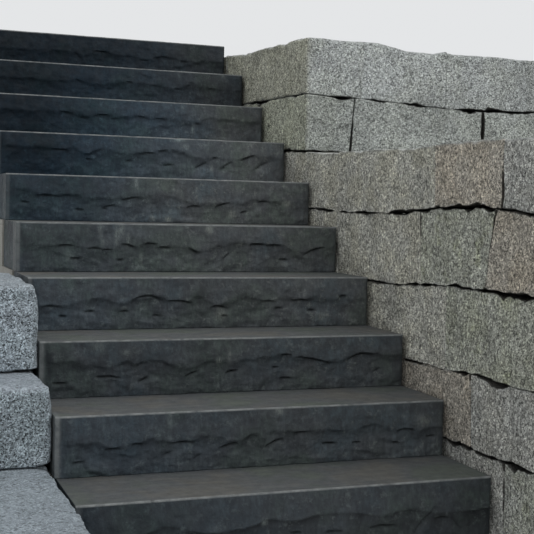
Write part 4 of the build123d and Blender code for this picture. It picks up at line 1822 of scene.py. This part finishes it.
@dataclass
class Tier(Masonry):
    """The two courses that follow the corner of the right wall.

    Slab_lift is how far the front of the corner slab's top stands over the slab beside it.
    """

    foot: Seam = RightWall.seams[5]
    bed: Seam = Seam(
        1.385,
        Run(((1494, 10), (1548, 12), (1719, 18), (2004, 20), (2237, 27), (2890, 22)),
            (Opening(1990, 2180, 12), Opening(1560, 1660, 6))),
        Run(((606, 10), (816, 3), (1033, -6), (1225, -17), (1441, -18), (1695, -10), (1900, -8)),
            (Opening(735, 810, 8), Opening(890, 955, 9), Opening(1065, 1150, 10), Opening(1310, 1500, 12),
             Opening(1500, 1900, 6))),
        tight_gap=1.0 * MM)
    crest: Seam = Seam(
        1.618,
        Run(((1494, 12), (1619, 15), (1793, 8), (2020, 9), (2296, 1), (2555, 14))),
        Run(((606, 12), (750, 7), (932, 8), (1073, -15), (1216, -16), (1256, -5), (1262, 7), (1412, 8),
             (1900, 5))))
    cell: float = 8.5 * MM
    rear_cell: float = 11 * MM
    slab_cell: float = 13 * MM
    corner_round: float = 30 * MM
    slab_lift: float = 20 * MM

    def stone(self, node: str, *sides: Side, **settings: object) -> SplitStone:
        """Prepare the stone of a node, which in the upper course is a slab with an open top."""
        slab = "slab" in node
        below, above = (self.bed, self.crest) if slab else (self.foot, self.bed)
        return SplitStone(
            node + "_split", *node_box(node), (*sides, Side.TOP) if slab else sides, below=below, above=above,
            cell=self.rear_cell if "rear" in node else self.cell, tone=Random(node).uniform(0.2, 0.9),
            **settings)

    def corner_slab(self) -> SplitStone:
        """Prepare the slab that turns the corner, narrows towards the back and has a sloping top."""
        return_low, return_high = node_box("tier_return_slab")
        slab = self.stone("tier_corner_slab", Side.LEFT, Side.FRONT, Side.RIGHT, end=Perpend(),
                          open_round=self.corner_round, depth_cell=self.slab_cell)
        slab.taper = slab.high[0] - node_box("tier_rear_slab")[1][0]
        slab.closed_right = return_low[0] - HALF_JOINT - slab.high[0]
        rise = slab.high[2] - return_high[2] - self.slab_lift
        slab.slope = rise / (slab.high[1] - slab.low[1])
        slab.high = slab.high - np.array([0.0, 0.0, rise])
        return slab

    def build(self) -> Iterator[Piece]:
        """Make the stones of both courses."""
        lean = Perpend(0.0, 19 * MM, 7 * MM, 1 * MM, broken=1.5 * MM)
        upright = Perpend(0.0, 2 * MM, 18 * MM, 8 * MM)
        hidden = Perpend(broken=0.5 * MM, closing=3.95 * MM, wander=0.0)
        faces = (Side.FRONT, Side.BACK)
        rear = (Side.LEFT, Side.RIGHT, Side.BACK)
        stones = (
            self.stone("tier_corner_stone", Side.LEFT, Side.FRONT, Side.RIGHT, end=Perpend(),
                       open_round=self.corner_round, closed_right=0.5 * MM, closed_lean=lean.head_shift,
                       closed_depth=270 * MM),
            self.stone("tier_return_stone_1", *faces, along=0, start=lean, end=upright),
            self.stone("tier_return_stone_2", *faces, Side.RIGHT, along=0, start=upright),
            self.stone("tier_rear_stone", *rear, start=Perpend()),
            self.corner_slab(),
            self.stone("tier_return_slab", *faces, Side.RIGHT, along=0, start=hidden),
            self.stone("tier_rear_slab", *rear, start=Perpend()),
        )
        for stone in stones:
            node = stone.name.removesuffix("_split")
            material = self.finish(TIER_GREY if stone.below is self.bed else TIER_LOW_GREY)
            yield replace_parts(stone.build(material, "tier_granite"), node)


@dataclass
class Cheek(Masonry):
    """The low wall on the left, whose stones stop short of each other as they go up."""

    counts: tuple[int, ...] = (3, 2, 1)
    corner: tuple[float, float] = (-0.606, 0.0)
    gaps: Run = Run(openings=(Opening(-400, 1100, 5),))
    top_round: float = 30 * MM
    first_cells: tuple[float, float] = (8 * MM, 9 * MM)
    cells: tuple[float, float] = (12 * MM, 12 * MM)

    def build(self) -> Iterator[Piece]:
        """Make the stones, course by course."""
        seams = [None]
        for course in range(1, len(self.counts) + 1):
            level = node_box(f"cheek_course_{course}_stone_1")[1][2]
            seams.append(Seam(level, return_side=Run(), flight_side=self.gaps, corner=self.corner))
        looks = ((CHEEK_LOW, 34 * MM, 5 * MM, 0.0), (CHEEK_MIDDLE, 22 * MM, 9 * MM, 5 * MM),
                 (CHEEK_HIGH, 38 * MM, 14 * MM, 6 * MM))
        for course, (count, look) in enumerate(zip(self.counts, looks), start=1):
            granite, rounding, barrel, proud = look
            material = self.finish(granite)
            for number in range(1, count + 1):
                node = f"cheek_course_{course}_stone_{number}"
                low, high = node_box(node)
                sides = [Side.LEFT, Side.RIGHT, Side.TOP]
                if number == 1:
                    sides.append(Side.FRONT)
                if number == count:
                    sides.append(Side.BACK)
                cell, depth_cell = self.first_cells if number == 1 else self.cells
                stone = SplitStone(
                    node + "_split", low, high, tuple(sides), below=seams[course - 1], above=seams[course],
                    start=Perpend() if number > 1 else None, end=Perpend() if number < count else None,
                    open_round=rounding, top_round=self.top_round, chip_depth=12 * MM, wear=2.5 * MM,
                    relief_depth=3.5 * MM, barrel=barrel, proud=proud, rough=3.2 * MM,
                    cell=cell, depth_cell=depth_cell, tone=Random(node).uniform(0.1, 0.9))
                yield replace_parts(stone.build(material, "cheek_granite"), node)


@dataclass
class Footing:
    """The concrete bed under the steps, which keeps its own shape."""

    finish: Concrete = Concrete()

    def build(self, frame: dict) -> Iterator[Piece]:
        """Give the bed its finish."""
        node = frame["nodes"]["foundation"]
        node.data.materials.clear()
        node.data.materials.append(self.finish.build())
        yield node


@dataclass
class Studio:
    """The floor, the light and the camera."""

    camera_place: Triple = (-1.12299, -2.73384, 0.93115)
    focal_length_mm: float = 74.98
    sensor_mm: float = 36.0
    yaw: float = 0.3568
    pitch: float = -0.0543
    roll: float = 0.0233
    floor_size: float = 80.0
    sky: float = 0.62
    seen_sky: float = 0.80
    sky_colour: Triple = (0.97, 0.985, 1.0)
    sun: float = 1.35
    sun_spread: float = 75.0
    sun_tilt: tuple[float, float] = (42.0, 22.0)

    def add_camera(self) -> None:
        """Put the camera where the photograph was taken from."""
        level = math.cos(self.pitch)
        ahead = Vector((math.sin(self.yaw) * level, math.cos(self.yaw) * level, math.sin(self.pitch)))
        right = Vector((math.cos(self.yaw), -math.sin(self.yaw), 0.0))
        up = right.cross(ahead)
        rolled_right = math.cos(self.roll) * right + math.sin(self.roll) * up
        rolled_up = -math.sin(self.roll) * right + math.cos(self.roll) * up
        data = bpy.data.cameras.new("camera")
        data.lens = self.focal_length_mm
        data.sensor_width = self.sensor_mm
        data.clip_end = 200.0
        camera = bpy.data.objects.new("camera", data)
        bpy.context.scene.collection.objects.link(camera)
        turn = Matrix((rolled_right, rolled_up, -ahead)).transposed()
        camera.matrix_world = Matrix.Translation(self.camera_place) @ turn.to_4x4()
        bpy.context.scene.camera = camera

    def add_floor(self) -> None:
        """Lay the pale floor just under the object."""
        bpy.ops.mesh.primitive_plane_add(size=self.floor_size, location=(0.0, 0.0, -0.5 * MM))
        floor = bpy.context.active_object
        floor.name = "floor"
        floor.data.materials.append(PlainStage().build())
        floor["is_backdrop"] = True

    def add_light(self) -> None:
        """Light the object softly from all round, with more from the front and the right."""
        data = bpy.data.lights.new("soft sun", "SUN")
        data.energy = self.sun
        data.angle = math.radians(self.sun_spread)
        lamp = bpy.data.objects.new("soft sun", data)
        tilt, turn = (math.radians(angle) for angle in self.sun_tilt)
        lamp.rotation_euler = (tilt, 0.0, turn)
        bpy.context.scene.collection.objects.link(lamp)
        world = bpy.data.worlds.new("pale sky")
        bpy.context.scene.world = world
        world.use_nodes = True
        tree = world.node_tree
        tree.nodes.clear()
        output = tree.nodes.new("ShaderNodeOutputWorld")
        background = tree.nodes.new("ShaderNodeBackground")
        rays = tree.nodes.new("ShaderNodeLightPath")
        seen = rays.outputs["Is Camera Ray"]
        for ray in ("Is Glossy Ray", "Is Transmission Ray"):
            either = tree.nodes.new("ShaderNodeMath")
            either.operation = "MAXIMUM"
            tree.links.new(seen, either.inputs[0])
            tree.links.new(rays.outputs[ray], either.inputs[1])
            seen = either.outputs["Value"]
        strength = tree.nodes.new("ShaderNodeMapRange")
        tree.links.new(seen, strength.inputs["Value"])
        strength.inputs["To Min"].default_value = self.sky
        strength.inputs["To Max"].default_value = self.seen_sky
        background.inputs["Color"].default_value = (*self.sky_colour, 1.0)
        tree.links.new(strength.outputs["Result"], background.inputs["Strength"])
        tree.links.new(background.outputs["Background"], output.inputs["Surface"])

    def build(self) -> None:
        """Set up the studio."""
        self.add_floor()
        self.add_light()
        self.add_camera()
        bpy.context.scene.view_settings.view_transform = "Standard"


def corners(box: tuple[Vector, Vector]) -> list[list[float]]:
    """A box's two corners as plain lists."""
    return [[float(number) for number in corner] for corner in box]


def main() -> None:
    """Load the frame, dress every node and set up the studio."""
    logging.basicConfig(level=logging.INFO, format="%(name)s: %(message)s")
    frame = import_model()
    cad_box = corners(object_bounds())
    for assembly in (Flight().build(), RightWall().build(frame), Tier().build(), Cheek().build(),
                     Footing().build(frame)):
        for piece in assembly:
            LOG.info("%s: %d faces", piece.name, len(piece.data.polygons))
    Studio().build()
    {"cad": cad_box, "visual": corners(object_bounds())}


if __name__ == "__main__":
    main()
